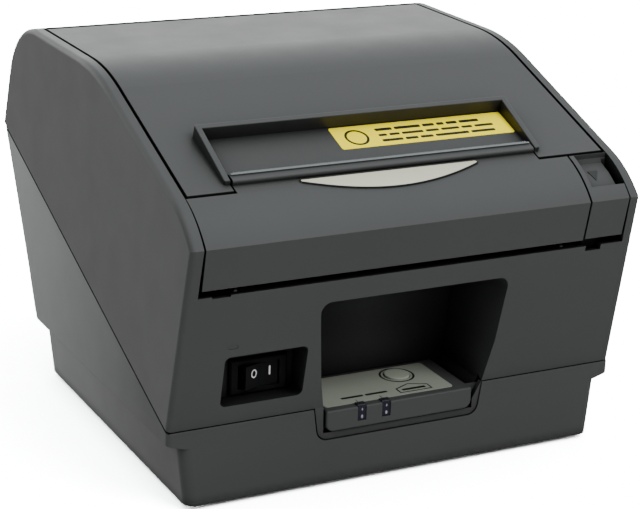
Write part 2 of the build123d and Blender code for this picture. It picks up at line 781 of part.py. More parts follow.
with BuildPart() as platen_bracket:
    with BuildSketch(slope_plane.offset(-pocket_depth - 2.2)):
        with Locations((pocket_mid, 37.5)):
            Rectangle(132.0, 19.0)
    extrude(amount=-plate_thick)
    with BuildSketch(Plane.YZ.offset(pocket_mid + 66.0)) as bracket_arm:
        with BuildLine():
            arm_front = slope_pt(28.0, pocket_depth + 3.0)
            arm_back = slope_pt(47.0, pocket_depth + 3.0)
            Polyline((platen_y - 7.5, platen_z), arm_front, arm_back, (platen_y + 7.5, platen_z))
            Line((platen_y + 7.5, platen_z), (platen_y - 7.5, platen_z))
        make_face()
        with Locations((platen_y, platen_z)):
            Circle(7.5)
            Circle(shaft_r + running, mode=Mode.SUBTRACT)
    extrude(amount=-plate_thick)
    with BuildSketch(Plane.YZ.offset(pocket_mid - 66.0)):
        add(bracket_arm.sketch_local)
    extrude(amount=plate_thick)
platen_bracket.part.label = "platen_bracket"
export_step(platen_bracket.part, "parts/platen_bracket.step")

with BuildPart() as fixed_blade:
    with BuildSketch(cut_plane.offset(1.05)):
        with Locations((pocket_mid, 5.0)):
            Rectangle(121.0, 8.0)
    extrude(amount=1.0)
fixed_blade.part.label = "fixed_blade"
export_step(fixed_blade.part, "parts/fixed_blade.step")

# Cutter, carried by the front cover
with BuildPart() as cutter_frame:
    with BuildSketch(cut_plane.offset(-2.2)):
        with Locations((-5.0, -16.0)):
            RectangleRounded(146.0, 26.0, 2.0)
        with Locations((rack_x + module * cutter_teeth / 2, pinion_reach)):
            Circle(1.5 + running, mode=Mode.SUBTRACT)
        with Locations((-73, -26), (63, -26)):
            Circle(1.3, mode=Mode.SUBTRACT)
        with Locations((-60, -16), (48, -16)):
            SlotOverall(16.0, 3.0, rotation=90, mode=Mode.SUBTRACT)
    extrude(amount=2.0)
cutter_frame.part.label = "cutter_frame"
export_step(cutter_frame.part, "parts/cutter_frame.step")

with BuildPart() as cutter_screws:
    with BuildSketch(cut_plane.offset(-4.0)):
        with Locations((-73, -26), (63, -26)):
            Circle(2.2)
    extrude(amount=1.8)
    with BuildSketch(cut_plane.offset(-2.2)):
        with Locations((-73, -26), (63, -26)):
            Circle(1.0)
    extrude(amount=9.0)
    with BuildSketch(cut_plane.offset(-4.0)):
        with Locations((-73, -26), (63, -26)):
            Rectangle(2.8, 0.6)
            Rectangle(0.6, 2.8)
    extrude(amount=0.9, mode=Mode.SUBTRACT)
cutter_screws.part.label = "cutter_screws"
export_step(cutter_screws.part, "parts/cutter_screws.step")

rack_pitch = pi * module
pinion_x = rack_x + module * cutter_teeth / 2
with BuildPart() as moving_blade:
    with BuildSketch(cut_plane):
        Polygon(
            (-64, -2),
            (-5.5, -7),
            (53, -2),
            (53, -12.5),
            (rack_x - 1.2 * module, -12.5),
            (rack_x - 1.2 * module, -27),
            (44, -27),
            (40, -22),
            (-51, -22),
            (-55, -27),
            (-64, -27),
            align=None,
        )
        for tooth in range(6):
            tooth_reach = pinion_reach + 0.5 * rack_pitch - tooth * rack_pitch
            with Locations((rack_x - 1.2 * module, tooth_reach)):
                Polygon(
                    (-0.3, -0.95),
                    (0, -0.95),
                    (1.8 * module, -0.36),
                    (1.8 * module, 0.36),
                    (0, 0.95),
                    (-0.3, 0.95),
                    align=None,
                )
        with Locations((-60, -16), (48, -16)):
            SlotOverall(6.0, 2.0, rotation=90, mode=Mode.SUBTRACT)
    extrude(amount=1.0)
moving_blade.part.label = "moving_blade"
export_step(moving_blade.part, "parts/moving_blade.step")

with BuildPart() as cutter_pinion:
    with BuildSketch(cut_plane):
        with Locations((pinion_x, pinion_reach)):
            add(gear_face(cutter_teeth, 180))
    extrude(amount=3.0)
    with BuildSketch(cut_plane):
        with Locations((pinion_x, pinion_reach)):
            Circle(1.5)
    extrude(amount=-5.0)
cutter_pinion.part.label = "cutter_pinion"
export_step(cutter_pinion.part, "parts/cutter_pinion.step")

with BuildPart() as cutter_gearbox:
    with BuildSketch(cut_plane.offset(-2.2)):
        with Locations((pinion_x - 5.0, -13.0)):
            RectangleRounded(19.0, 19.0, 2.0)
    extrude(amount=-12.0)
    chamfer(faces().filter_by(cut_plane).sort_by(Axis.Z)[0].edges(), 0.8)
    with BuildSketch(cut_plane.offset(-6.0)):
        with Locations((pinion_x, pinion_reach)):
            Circle(1.5 + running)
    extrude(amount=8.0, mode=Mode.SUBTRACT)
cutter_gearbox.part.label = "cutter_gearbox"
export_step(cutter_gearbox.part, "parts/cutter_gearbox.step")

motor_axis_plane = Plane(
    origin=cut_plane.from_local_coords((pinion_x - 14.5, -18.0, -10.0)),
    x_dir=(0, 1, 0),
    z_dir=(-1, 0, 0),
)
with BuildPart() as cutter_motor:
    with BuildSketch(motor_axis_plane):
        Circle(7.5)
        Rectangle(12.0, 30.0, mode=Mode.INTERSECT)
    extrude(amount=30.0)
    with BuildSketch(motor_axis_plane.offset(30.0)):
        Circle(3.0)
    extrude(amount=1.5)
cutter_motor.part.label = "cutter_motor"
export_step(cutter_motor.part, "parts/cutter_motor.step")

# Chassis plates with slots that the platen bearings drop into
with BuildSketch(Plane.YZ) as plate_shape:
    with BuildLine():
        Polyline((-111, 96.4), (-111, 103), (-104, 105.5), (-98, 114), (-80, 126), (-40, 126))
        Polyline((-40, 126), (-29, 112))
        Polyline((-29, 112), (-22, 92), (-22, 5), (-42, 5), (-42, 58), (-60, 66))
        Polyline((-60, 66), (-66, 96.4), (-111, 96.4))
    make_face()
    fillet(vertices(), 2.0)
    with Locations((platen_y, platen_z)):
        Circle(bearing_r + 0.1, mode=Mode.SUBTRACT)
    Polygon(
        (platen_y - bearing_r - 0.1, platen_z - 0.3),
        (platen_y + bearing_r + 0.6, platen_z),
        (platen_y + bearing_r - 2.0, 130),
        (platen_y - bearing_r - 6.5, 130),
        align=None,
        mode=Mode.SUBTRACT,
    )
    with Locations((latch_y, latch_z)):
        Circle(latch_r + running, mode=Mode.SUBTRACT)

with BuildPart() as chassis_right:
    with BuildSketch(Plane.YZ.offset(plate_right_x)):
        add(plate_shape.sketch_local)
        with Locations((motor_y, motor_z)):
            Circle(5.1, mode=Mode.SUBTRACT)
        with Locations((idler_y, idler_z)):
            Circle(2.0, mode=Mode.SUBTRACT)
    extrude(amount=plate_thick)
chassis_right.part.label = "chassis_right"
export_step(chassis_right.part, "parts/chassis_right.step")

with BuildPart() as chassis_left:
    with BuildSketch(Plane.YZ.offset(plate_left_x)):
        add(plate_shape.sketch_local)
    extrude(amount=-plate_thick)
chassis_left.part.label = "chassis_left"
export_step(chassis_left.part, "parts/chassis_left.step")

# Cross member under the head, with feet that stand on the lower case
cross_long = plate_right_x - plate_left_x
cross_mid = (plate_right_x + plate_left_x) / 2
with BuildPart() as chassis_cross:
    with BuildSketch(head_plane.offset(-18.0)):
        with Locations((cross_mid, 4.0)):
            Rectangle(cross_long, 16.0)
        with Locations((pocket_mid - spring_out, 2.0), (pocket_mid + spring_out, 2.0)):
            Circle(1.6, mode=Mode.SUBTRACT)
    extrude(amount=plate_thick)
chassis_cross.part.label = "chassis_cross"
export_step(chassis_cross.part, "parts/chassis_cross.step")

with BuildPart() as idler_pin:
    with BuildSketch(Plane.YZ.offset(plate_right_x)):
        with Locations((idler_y, idler_z)):
            Circle(2.0)
    extrude(amount=10.0)
    with BuildSketch(Plane.YZ.offset(gear_x + gear_wide + 0.3)):
        with Locations((idler_y, idler_z)):
            Circle(3.4)
    extrude(amount=0.8)
idler_pin.part.label = "idler_pin"
export_step(idler_pin.part, "parts/idler_pin.step")

with BuildPart() as idler_gear:
    with BuildSketch(Plane.YZ.offset(gear_x)):
        with Locations((idler_y, idler_z)):
            add(gear_face(idler_teeth, idler_phase))
            Circle(2.0 + running, mode=Mode.SUBTRACT)
            with PolarLocations(6.3, 5):
                Circle(1.7, mode=Mode.SUBTRACT)
    extrude(amount=gear_wide)
idler_gear.part.label = "idler_gear"
export_step(idler_gear.part, "parts/idler_gear.step")

with BuildPart() as motor_pinion:
    with BuildSketch(Plane.YZ.offset(gear_x)):
        with Locations((motor_y, motor_z)):
            add(gear_face(motor_teeth, motor_phase))
            Circle(1.5, mode=Mode.SUBTRACT)
    extrude(amount=gear_wide)
motor_pinion.part.label = "motor_pinion"
export_step(motor_pinion.part, "parts/motor_pinion.step")

with BuildPart() as motor_shaft:
    with BuildSketch(Plane.YZ.offset(57.0)):
        with Locations((motor_y, motor_z)):
            Circle(1.5)
    extrude(amount=27.0)
motor_shaft.part.label = "motor_shaft"
export_step(motor_shaft.part, "parts/motor_shaft.step")

with BuildPart() as feed_motor:
    with BuildSketch(Plane.YZ.offset(56.0)):
        with Locations((motor_y, motor_z)):
            Circle(17.0)
    extrude(amount=19.0)
    fillet(edges().filter_by(GeomType.CIRCLE).sort_by(Axis.X)[0], 1.5)
    with BuildSketch(Plane.YZ.offset(74.0)):
        with Locations((motor_y, motor_z)):
            SlotOverall(46.0, 9.0, rotation=90)
    extrude(amount=1.0)
    with BuildSketch(Plane.YZ.offset(75.0)):
        with Locations((motor_y, motor_z)):
            Circle(5.0)
    extrude(amount=1.5)
    with BuildSketch(Plane.YZ.offset(56.5)):
        with Locations((motor_y, motor_z)):
            Circle(1.5 + running)
    extrude(amount=21.0, mode=Mode.SUBTRACT)
feed_motor.part.label = "feed_motor"
export_step(feed_motor.part, "parts/feed_motor.step")

# Thermal head on its heat sink, pressed by two springs
with BuildPart() as head_heatsink:
    with BuildSketch(head_plane.offset(-9.5)):
        with Locations((pocket_mid, 4.0)):
            Rectangle(145.0, 20.0)
    extrude(amount=7.0)
    with BuildSketch(head_plane.offset(-9.5)):
        with Locations((pocket_mid, 4.0)):
            with GridLocations(12.0, 0, 9, 1):
                Rectangle(5.0, 20.0)
    extrude(amount=3.0, mode=Mode.SUBTRACT)
head_heatsink.part.label = "head_heatsink"
export_step(head_heatsink.part, "parts/head_heatsink.step")

with BuildPart() as print_head:
    with BuildSketch(head_plane.offset(-2.5)):
        with Locations((pocket_mid, 3.5)):
            Rectangle(118.0, 17.0)
    extrude(amount=1.0)
    with BuildSketch(head_plane.offset(-1.5)):
        with Locations((pocket_mid, 0.0)):
            Rectangle(116.0, 9.0)
    extrude(amount=1.42)
print_head.part.label = "print_head"
export_step(print_head.part, "parts/print_head.step")

with BuildPart() as head_pins:
    with BuildSketch(head_plane.offset(-20.5)):
        with Locations((pocket_mid - spring_out, 2.0), (pocket_mid + spring_out, 2.0)):
            Circle(2.6)
    extrude(amount=1.5)
    with BuildSketch(head_plane.offset(-19.0)):
        with Locations((pocket_mid - spring_out, 2.0), (pocket_mid + spring_out, 2.0)):
            Circle(1.5)
    extrude(amount=9.5)
head_pins.part.label = "head_pins"
export_step(head_pins.part, "parts/head_pins.step")

with BuildPart() as head_springs:
    for spring_x in (pocket_mid - spring_out, pocket_mid + spring_out):
        with BuildLine() as coil:
            Helix(
                pitch=1.5,
                height=6.0,
                radius=3.2,
                center=head_plane.from_local_coords((spring_x, 2.0, -16.0)),
                direction=head_plane.z_dir,
            )
        with BuildSketch(Plane(origin=coil.line @ 0, z_dir=coil.line % 0)):
            Circle(0.35)
        sweep(path=coil.line)
head_springs.part.label = "head_springs"
export_step(head_springs.part, "parts/head_springs.step")

with BuildPart() as head_cable:
    cable_top = head_plane.from_local_coords((0, 14.8, -2.9))
    with BuildSketch(Plane.YZ.offset(-40.0)):
        with BuildLine():
            cable_front = Spline(
                (cable_top.Y, cable_top.Z),
                (-51.0, 90.0),
                (-49.0, 60.0),
                (-46.0, 15.6),
                tangents=[(0.57, -0.82), (0, -1)],
            )
            cable_rear = Spline(
                (cable_top.Y + 0.5, cable_top.Z),
                (-50.5, 90.0),
                (-48.5, 60.0),
                (-45.5, 15.6),
                tangents=[(0.57, -0.82), (0, -1)],
            )
            Line(cable_front @ 0, cable_rear @ 0)
            Line(cable_front @ 1, cable_rear @ 1)
        make_face()
    extrude(amount=60.0)
head_cable.part.label = "head_cable"
export_step(head_cable.part, "parts/head_cable.step")

# Paper bay with its deck
with BuildPart() as paper_bay:
    with BuildSketch(Plane.YZ) as bay_shape:
        with BuildLine():
            Line((bay_y - bay_r - bay_wall, 104.0), (bay_y - bay_r - bay_wall, bay_z))
            ThreePointArc(
                (bay_y - bay_r - bay_wall, bay_z),
                (bay_y, bay_z - bay_r - bay_wall),
                (bay_y + bay_r + bay_wall, bay_z),
            )
            Polyline((bay_y + bay_r + bay_wall, bay_z), (bay_y + bay_r + bay_wall, deck_z + 1.8))
            Line((bay_y + bay_r + bay_wall, deck_z + 1.8), (bay_y - bay_r - bay_wall, deck_z + 1.8))
            Line((bay_y - bay_r - bay_wall, deck_z + 1.8), (bay_y - bay_r - bay_wall, 104.0))
        make_face()
    extrude(amount=bay_right + bay_wall, dir=(1, 0, 0))
    with BuildSketch(Plane.YZ):
        add(bay_shape.sketch_local)
    extrude(amount=-bay_left + bay_wall, dir=(-1, 0, 0))
    with BuildSketch(Plane.XY.offset(deck_z)):
        with Locations((0, 33.0)):
            Rectangle(208.4, 141.0)
    extrude(amount=1.8)
    with BuildSketch(Plane.YZ.offset(bay_left)):
        with Locations((bay_y, bay_z)):
            Circle(bay_r)
        with Locations((bay_y, bay_z + 50)):
            Rectangle(2 * bay_r, 100)
        with Locations((bay_y - bay_r, 154.0)):
            Rectangle(12.0, 100)
    extrude(amount=bay_right - bay_left, mode=Mode.SUBTRACT)
    # front of the bay is open above the paper guide
    with Locations((0, bay_y - bay_r - 10, 160)):
        Box(260, 12, 120, mode=Mode.SUBTRACT)
    # clearance for the print chassis
    with Locations((0, -50, 150)):
        Box(260, 30, 40, mode=Mode.SUBTRACT)
paper_bay.part.label = "paper_bay"
export_step(paper_bay.part, "parts/paper_bay.step")

with BuildPart() as paper_guide:
    with BuildSketch(Plane.YZ.offset(bay_left + 1.0)):
        with BuildLine():
            Polyline((-40.2, 98.0), (-40.2, 103.6), (-56.0, 103.6), (-56.0, 102.2), (-42.0, 102.2))
            Polyline((-42.0, 102.2), (-42.0, 98.0), (-40.2, 98.0))
        make_face()
    extrude(amount=bay_right - bay_left - 2.0)
paper_guide.part.label = "paper_guide"
export_step(paper_guide.part, "parts/paper_guide.step")

with BuildPart() as paper_sensor:
    with BuildSketch(Plane.XY.offset(94.0)):
        with Locations((35, -50)):
            RectangleRounded(12.0, 8.0, 1.0)
    extrude(amount=8.2)
paper_sensor.part.label = "paper_sensor"
export_step(paper_sensor.part, "parts/paper_sensor.step")

# Main circuit board and what sits on it
with BuildPart() as main_board:
    with Locations((0, board_y, 14.0)):
        Box(140.0, 104.0, 1.6, align=(Align.CENTER, Align.CENTER, Align.MIN))
        with GridLocations(board_post_x, board_post_y, 2, 2):
            Hole(1.7)
main_board.part.label = "main_board"
export_step(main_board.part, "parts/main_board.step")

with BuildPart() as board_screws:
    with Locations(Pos(0, board_y, 8.5)):
        with GridLocations(board_post_x, board_post_y, 2, 2):
            Cylinder(1.2, 7.1, align=(Align.CENTER, Align.CENTER, Align.MIN))
    with Locations(Pos(0, board_y, 15.6)):
        with GridLocations(board_post_x, board_post_y, 2, 2):
            Cylinder(2.8, 1.8, align=(Align.CENTER, Align.CENTER, Align.MIN))
    with Locations(Pos(0, board_y, 17.4)):
        with GridLocations(board_post_x, board_post_y, 2, 2):
            Box(3.6, 0.7, 1.8, mode=Mode.SUBTRACT)
board_screws.part.label = "board_screws"
export_step(board_screws.part, "parts/board_screws.step")

with BuildPart() as board_chips:
    with Locations((-30, 10, 15.6), (15, 20, 15.6)):
        Box(20.0, 20.0, 2.2, align=(Align.CENTER, Align.CENTER, Align.MIN))
    with Locations((-55, -25, 15.6), (-35, -25, 15.6), (50, 25, 15.6)):
        Box(12.0, 8.0, 1.8, align=(Align.CENTER, Align.CENTER, Align.MIN))
    with Locations((60, -20, 15.6)):
        Box(14.0, 24.0, 9.0, align=(Align.CENTER, Align.CENTER, Align.MIN))
board_chips.part.label = "board_chips"
export_step(board_chips.part, "parts/board_chips.step")

with BuildPart() as board_capacitors:
    with Locations((30, -28, 15.6), (42, -28, 15.6), (-58, 20, 15.6)):
        Cylinder(4.6, 14.0, align=(Align.CENTER, Align.CENTER, Align.MIN))
    fillet(edges().filter_by(GeomType.CIRCLE).group_by(Axis.Z)[-1], 0.8)
board_capacitors.part.label = "board_capacitors"
export_step(board_capacitors.part, "parts/board_capacitors.step")

# Interface card and the sockets in the sloping back
with BuildPart() as interface_plate:
    with BuildSketch(rear_plane.offset(-wall - 1.0)):
        with Locations((-20, 2)):
            RectangleRounded(126.0, 38.0, 2.0)
        with Locations((-48, 2)):
            Rectangle(12.6, 11.4, mode=Mode.SUBTRACT)
        with Locations((-14, 2)):
            Rectangle(34.4, 12.4, mode=Mode.SUBTRACT)
        with Locations((22, 2)):
            Rectangle(16.4, 14.4, mode=Mode.SUBTRACT)
        with Locations((-74, 2), (34.5, 2)):
            Circle(1.5, mode=Mode.SUBTRACT)
    extrude(amount=1.0)
interface_plate.part.label = "interface_plate"
export_step(interface_plate.part, "parts/interface_plate.step")

with BuildPart() as usb_socket:
    with BuildSketch(rear_plane.offset(-18.0)):
        with Locations((-48, 2)):
            Rectangle(12.0, 10.8)
    extrude(amount=17.0)
    with BuildSketch(rear_plane.offset(-10.0)):
        with Locations((-48, 2)):
            Rectangle(8.8, 8.0)
    extrude(amount=20.0, mode=Mode.SUBTRACT)
    with BuildSketch(rear_plane.offset(-10.0)):
        with Locations((-48, 2)):
            Rectangle(5.6, 3.2)
    extrude(amount=7.5)
usb_socket.part.label = "usb_socket"
export_step(usb_socket.part, "parts/usb_socket.step")

with BuildPart() as serial_socket:
    with BuildSketch(rear_plane.offset(-18.0)):
        with Locations((-14, 2)):
            RectangleRounded(33.8, 11.8, 1.0)
    extrude(amount=15.0)
    with BuildSketch(rear_plane.offset(-3.0)):
        with Locations((-14, 2)):
            Trapezoid(18.0, 8.4, 80)
    extrude(amount=5.0)
    with BuildSketch(rear_plane.offset(2.0)):
        with Locations((-18, 0.6), (-15.3, 0.6), (-12.6, 0.6), (-9.9, 0.6)):
            Circle(0.5)
        with Locations((-19.4, 3.4), (-16.7, 3.4), (-14, 3.4), (-11.3, 3.4), (-8.6, 3.4)):
            Circle(0.5)
    extrude(amount=-4.0, mode=Mode.SUBTRACT)
serial_socket.part.label = "serial_socket"
export_step(serial_socket.part, "parts/serial_socket.step")

with BuildPart() as drawer_socket:
    with BuildSketch(rear_plane.offset(-18.0)):
        with Locations((22, 2)):
            Rectangle(15.8, 13.8)
    extrude(amount=17.0)
    with BuildSketch(rear_plane.offset(-13.0)):
        with Locations((22, 2)):
            Rectangle(11.8, 6.8)
        with Locations((22, 6.2)):
            Rectangle(6.0, 2.4)
    extrude(amount=13.0, mode=Mode.SUBTRACT)
drawer_socket.part.label = "drawer_socket"
export_step(drawer_socket.part, "parts/drawer_socket.step")

with BuildPart() as power_inlet:
    with BuildSketch(rear_plane.offset(-wall - 15.0)):
        with Locations((72, 2)):
            Circle(14.0)
    extrude(amount=15.0)
    with BuildSketch(rear_plane.offset(-wall)):
        with Locations((72, 2)):
            Circle(10.0)
    extrude(amount=4.0)
    with BuildSketch(rear_plane.offset(-8.0)):
        with Locations((72, 2)):
            Circle(7.5)
    extrude(amount=12.0, mode=Mode.SUBTRACT)
    with BuildSketch(rear_plane.offset(-8.0)):
        with Locations((72, 2)):
            with PolarLocations(3.4, 3):
                Circle(0.7)
    extrude(amount=6.0)
power_inlet.part.label = "power_inlet"
export_step(power_inlet.part, "parts/power_inlet.step")

with BuildPart() as plate_screws:
    with BuildSketch(rear_plane.offset(-wall)):
        with Locations((-74, 2), (34.5, 2)):
            Circle(2.6)
    extrude(amount=1.6)
    with BuildSketch(rear_plane.offset(-wall)):
        with Locations((-74, 2), (34.5, 2)):
            Circle(1.4)
    extrude(amount=-5.0)
    with BuildSketch(rear_plane.offset(-wall + 1.0)):
        with Locations((-74, 2), (34.5, 2)):
            Rectangle(3.4, 0.6)
            Rectangle(0.6, 3.4)
    extrude(amount=1.0, mode=Mode.SUBTRACT)
plate_screws.part.label = "plate_screws"
export_step(plate_screws.part, "parts/plate_screws.step")

# Console block in the front recess
with BuildPart() as console_panel:
    with BuildSketch(Plane.XZ.offset(-console_front)):
        with Locations((0, (console_top + console_foot) / 2)):
            Rectangle(2 * console_half, console_top - console_foot)
        fillet(vertices().group_by(Axis.Y)[0], 4.0)
        fillet(vertices().group_by(Axis.Y)[-1], 1.0)
    extrude(amount=console_front - console_back)
    fillet(edges().filter_by(Axis.X).group_by(Axis.Y)[0].sort_by(Axis.Z)[-1], 1.0)
    # flange behind the tongue of the front panel
    with Locations((0, -99.0, 28.0)):
        Box(92.0, 1.6, 17.0)
    # hollow behind and below
    with Locations((0, -83.0, 26.0)):
        Box(70.0, 34.0, 16.0, mode=Mode.SUBTRACT)
    with Locations((button_x, button_y, 36.0)):
        Cylinder(button_r + running, 8.0, mode=Mode.SUBTRACT)
    # windows for the lamps
    with Locations((-19.6, -103.0, 33.4), (-7.2, -103.0, 33.4)):
        Box(4.4, 6.0, 7.6, mode=Mode.SUBTRACT)
console_panel.part.label = "console_panel"
export_step(console_panel.part, "parts/console_panel.step")

with BuildPart() as lamp_windows:
    with Locations((-19.6, -101.6, 33.4), (-7.2, -101.6, 33.4)):
        Box(4.4, 3.2, 7.6)
    fillet(edges().filter_by(Axis.X).group_by(Axis.Y)[0].group_by(Axis.Z)[-1], 0.8)
lamp_windows.part.label = "lamp_windows"
export_step(lamp_windows.part, "parts/lamp_windows.step")

with BuildPart() as console_label:
    with BuildSketch(Plane.XY.offset(console_top)):
        with Locations((-3.0, -84.0)):
            RectangleRounded(66.0, 31.0, 1.5)
        with Locations((button_x, button_y)):
            Circle(button_r + 0.4, mode=Mode.SUBTRACT)
    extrude(amount=0.3)
console_label.part.label = "console_label"
export_step(console_label.part, "parts/console_label.step")

with BuildPart() as feed_button:
    with BuildSketch(Plane.XY.offset(34.0 - 1.6)):
        with Locations((button_x, button_y)):
            Circle(button_r + 1.2)
    extrude(amount=1.2)
    with BuildSketch(Plane.XY.offset(33.4)):
        with Locations((button_x, button_y)):
            Circle(button_r)
    extrude(amount=console_top + 1.2 - 33.4)
    fillet(edges().group_by(Axis.Z)[-1], 0.5)
feed_button.part.label = "feed_button"
export_step(feed_button.part, "parts/feed_button.step")

with BuildPart() as console_board:
    with Locations((0, -83.0, 27.6)):
        Box(69.0, 32.0, 1.4)
    with Locations((button_x, button_y, 28.3)):
        Box(6.2, 6.2, 2.4, align=(Align.CENTER, Align.CENTER, Align.MIN))
    with Locations((-19.6, -94.0, 28.3), (-7.2, -94.0, 28.3)):
        Box(3.0, 3.0, 3.0, align=(Align.CENTER, Align.CENTER, Align.MIN))
console_board.part.label = "console_board"
export_step(console_board.part, "parts/console_board.step")

# Power switch
with BuildPart() as switch_body:
    with Locations((switch_x, switch_face - 1.0, switch_z)):
        Box(27.6, 2.0, 16.6)
    front_rim = faces().filter_by(Axis.Y).sort_by(Axis.Y)[0].edges()
    chamfer(front_rim, 0.8)
    with Locations((switch_x, switch_face + 9.0, switch_z)):
        Box(22.4, 18.0, 13.2)
    with Locations((switch_x, switch_face, switch_z)):
        Box(20.0, 14.0, 11.4, mode=Mode.SUBTRACT)
    with Locations((switch_x, switch_face + 2.6, switch_z)):
        Cylinder(1.2, 13.2)
    with Locations((switch_x, switch_face + 18.0, switch_z)):
        with GridLocations(12.0, 0, 2, 1):
            Box(0.8, 8.0, 6.0, align=(Align.CENTER, Align.MIN, Align.CENTER))
switch_body.part.label = "switch_body"
export_step(switch_body.part, "parts/switch_body.step")

rocker_tilt = radians(11.0)
rocker_plane = Plane(
    origin=(switch_x, switch_face + 2.6, switch_z - 5.5),
    x_dir=(cos(rocker_tilt), sin(rocker_tilt), 0),
    z_dir=(0, 0, 1),
)
with BuildPart() as power_rocker:
    with BuildSketch(rocker_plane):
        with BuildLine():
            Polyline((-8.6, -3.0), (-8.6, -5.6), (0, -4.6), (8.6, -5.6), (8.6, -3.0), (3.0, 2.4))
            Polyline((3.0, 2.4), (-3.0, 2.4), (-8.6, -3.0))
        make_face()
        Circle(1.2 + running, mode=Mode.SUBTRACT)
    extrude(amount=11.0)
power_rocker.part.label = "power_rocker"
export_step(power_rocker.part, "parts/power_rocker.step")
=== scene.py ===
import json
import math

import bmesh
import bpy
from mathutils import Matrix, Vector
from mathutils.bvhtree import BVHTree


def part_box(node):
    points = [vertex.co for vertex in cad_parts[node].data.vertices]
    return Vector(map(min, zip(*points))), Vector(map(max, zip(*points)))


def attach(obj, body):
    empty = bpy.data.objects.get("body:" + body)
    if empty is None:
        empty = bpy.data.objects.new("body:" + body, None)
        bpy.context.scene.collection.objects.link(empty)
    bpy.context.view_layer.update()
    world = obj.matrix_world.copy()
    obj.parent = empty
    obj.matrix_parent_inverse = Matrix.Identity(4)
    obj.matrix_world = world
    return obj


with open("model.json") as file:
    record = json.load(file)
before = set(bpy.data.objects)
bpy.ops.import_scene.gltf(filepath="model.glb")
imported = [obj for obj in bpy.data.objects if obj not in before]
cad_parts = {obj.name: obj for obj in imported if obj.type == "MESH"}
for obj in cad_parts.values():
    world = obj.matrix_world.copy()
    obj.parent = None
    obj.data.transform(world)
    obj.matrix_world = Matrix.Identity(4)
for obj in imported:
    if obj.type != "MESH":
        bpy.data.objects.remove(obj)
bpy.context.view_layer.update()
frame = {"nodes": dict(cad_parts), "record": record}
nodes = frame["nodes"]
MM = 0.001


def corners(node):
    """A node's lowest and highest corners."""
    low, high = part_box(node)
    return Vector(low), Vector(high)


# ---------------------------------------------------------------- shader building blocks
DRIFT_SCALE = 18.0      # per metre: slow change of colour over a panel
SMEAR_SCALE = 60.0      # per metre: change of gloss
PATCH_SCALE = 260.0     # per metre: worn and unworn stretches of an edge
FINE_SHARE = 0.6        # how much of the colour change follows the grain
GLOSS_CHANGE = 0.06     # how far the roughness moves either way
GRAIN_DEPTH = 0.05 * MM
PAINTED_SHADE_POWER = 1.6      # how fast the painted shade darkens a surface as its view of the open closes
COLOR_A, COLOR_B, COLOR_OUT = 6, 7, 2   # the colour sockets of a Mix node


def new_material(name):
    mat = bpy.data.materials.new(name)
    mat.use_nodes = True
    tree = mat.node_tree
    tree.nodes.clear()
    out = tree.nodes.new("ShaderNodeOutputMaterial")
    shader = tree.nodes.new("ShaderNodeBsdfPrincipled")
    tree.links.new(shader.outputs["BSDF"], out.inputs["Surface"])
    return mat, tree, shader


def noise(tree, coords, scale, detail=2.0, rough=0.5):
    tex = tree.nodes.new("ShaderNodeTexNoise")
    tex.inputs["Scale"].default_value = scale
    tex.inputs["Detail"].default_value = detail
    tex.inputs["Roughness"].default_value = rough
    tree.links.new(coords, tex.inputs["Vector"])
    return tex.outputs["Fac"]


def span(tree, value, low, high, start=0.0, end=1.0):
    """Map start..end to low..high."""
    node = tree.nodes.new("ShaderNodeMapRange")
    node.inputs["From Min"].default_value = start
    node.inputs["From Max"].default_value = end
    node.inputs["To Min"].default_value = low
    node.inputs["To Max"].default_value = high
    tree.links.new(value, node.inputs["Value"])
    return node.outputs["Result"]


def maths(tree, operation, first, second):
    """A math node on two values, each a socket or a number."""
    node = tree.nodes.new("ShaderNodeMath")
    node.operation = operation
    for socket, value in zip(node.inputs, (first, second)):
        if isinstance(value, (int, float)):
            socket.default_value = value
        else:
            tree.links.new(value, socket)
    return node.outputs[0]


def color_mix(tree, factor, first, second):
    """Two colours, each a socket or a tuple, mixed by a factor socket."""
    mix = tree.nodes.new("ShaderNodeMix")
    mix.data_type = "RGBA"
    tree.links.new(factor, mix.inputs["Factor"])
    for index, color in ((COLOR_A, first), (COLOR_B, second)):
        if isinstance(color, tuple):
            mix.inputs[index].default_value = color
        else:
            tree.links.new(color, mix.inputs[index])
    return mix.outputs[COLOR_OUT]


def split_xyz(tree, vector):
    node = tree.nodes.new("ShaderNodeSeparateXYZ")
    tree.links.new(vector, node.inputs["Vector"])
    return node.outputs


def face_normal(tree):
    return tree.nodes.new("ShaderNodeNewGeometry").outputs["Normal"]


def stretched(tree, coords, stretch):
    mapping = tree.nodes.new("ShaderNodeMapping")
    mapping.inputs["Scale"].default_value = stretch
    tree.links.new(coords, mapping.inputs["Vector"])
    return mapping.outputs["Vector"]


def drifting_value(tree, coords, fine, vary):
    """A brightness factor around 1 that drifts over the panel and with the grain."""
    slow = span(tree, noise(tree, coords, DRIFT_SCALE, 4.0), -vary, vary)
    quick = span(tree, fine, -vary * FINE_SHARE, vary * FINE_SHARE)
    return maths(tree, "ADD", maths(tree, "ADD", slow, quick), 1.0)


def painted_recess_shade(tree, shade, reach):
    """Painted shade: 1 in the open and less in a hollow: shade is how strongly, reach how far it
    looks in mm.
    """
    hollow = tree.nodes.new("ShaderNodeAmbientOcclusion")
    hollow.samples = 6
    hollow.inputs["Distance"].default_value = reach * MM
    return maths(tree, "POWER", hollow.outputs["AO"], PAINTED_SHADE_POWER * shade)


def painted_sheen_factor(tree, coords, sheen_gain):
    """Painted sheen: 1, growing towards the rear up to the given gain on faces that look sideways."""
    sheen_starts, sheen_full = -0.08, 0.10
    across = maths(tree, "ABSOLUTE", split_xyz(tree, face_normal(tree))["X"], 0.0)
    sideways = span(tree, across, 0.0, 1.0, 0.6, 0.98)
    along = split_xyz(tree, coords)["Y"]
    rearward = span(tree, along, 0.0, sheen_gain - 1.0, sheen_starts, sheen_full)
    return maths(tree, "ADD", maths(tree, "MULTIPLY", rearward, sideways), 1.0)


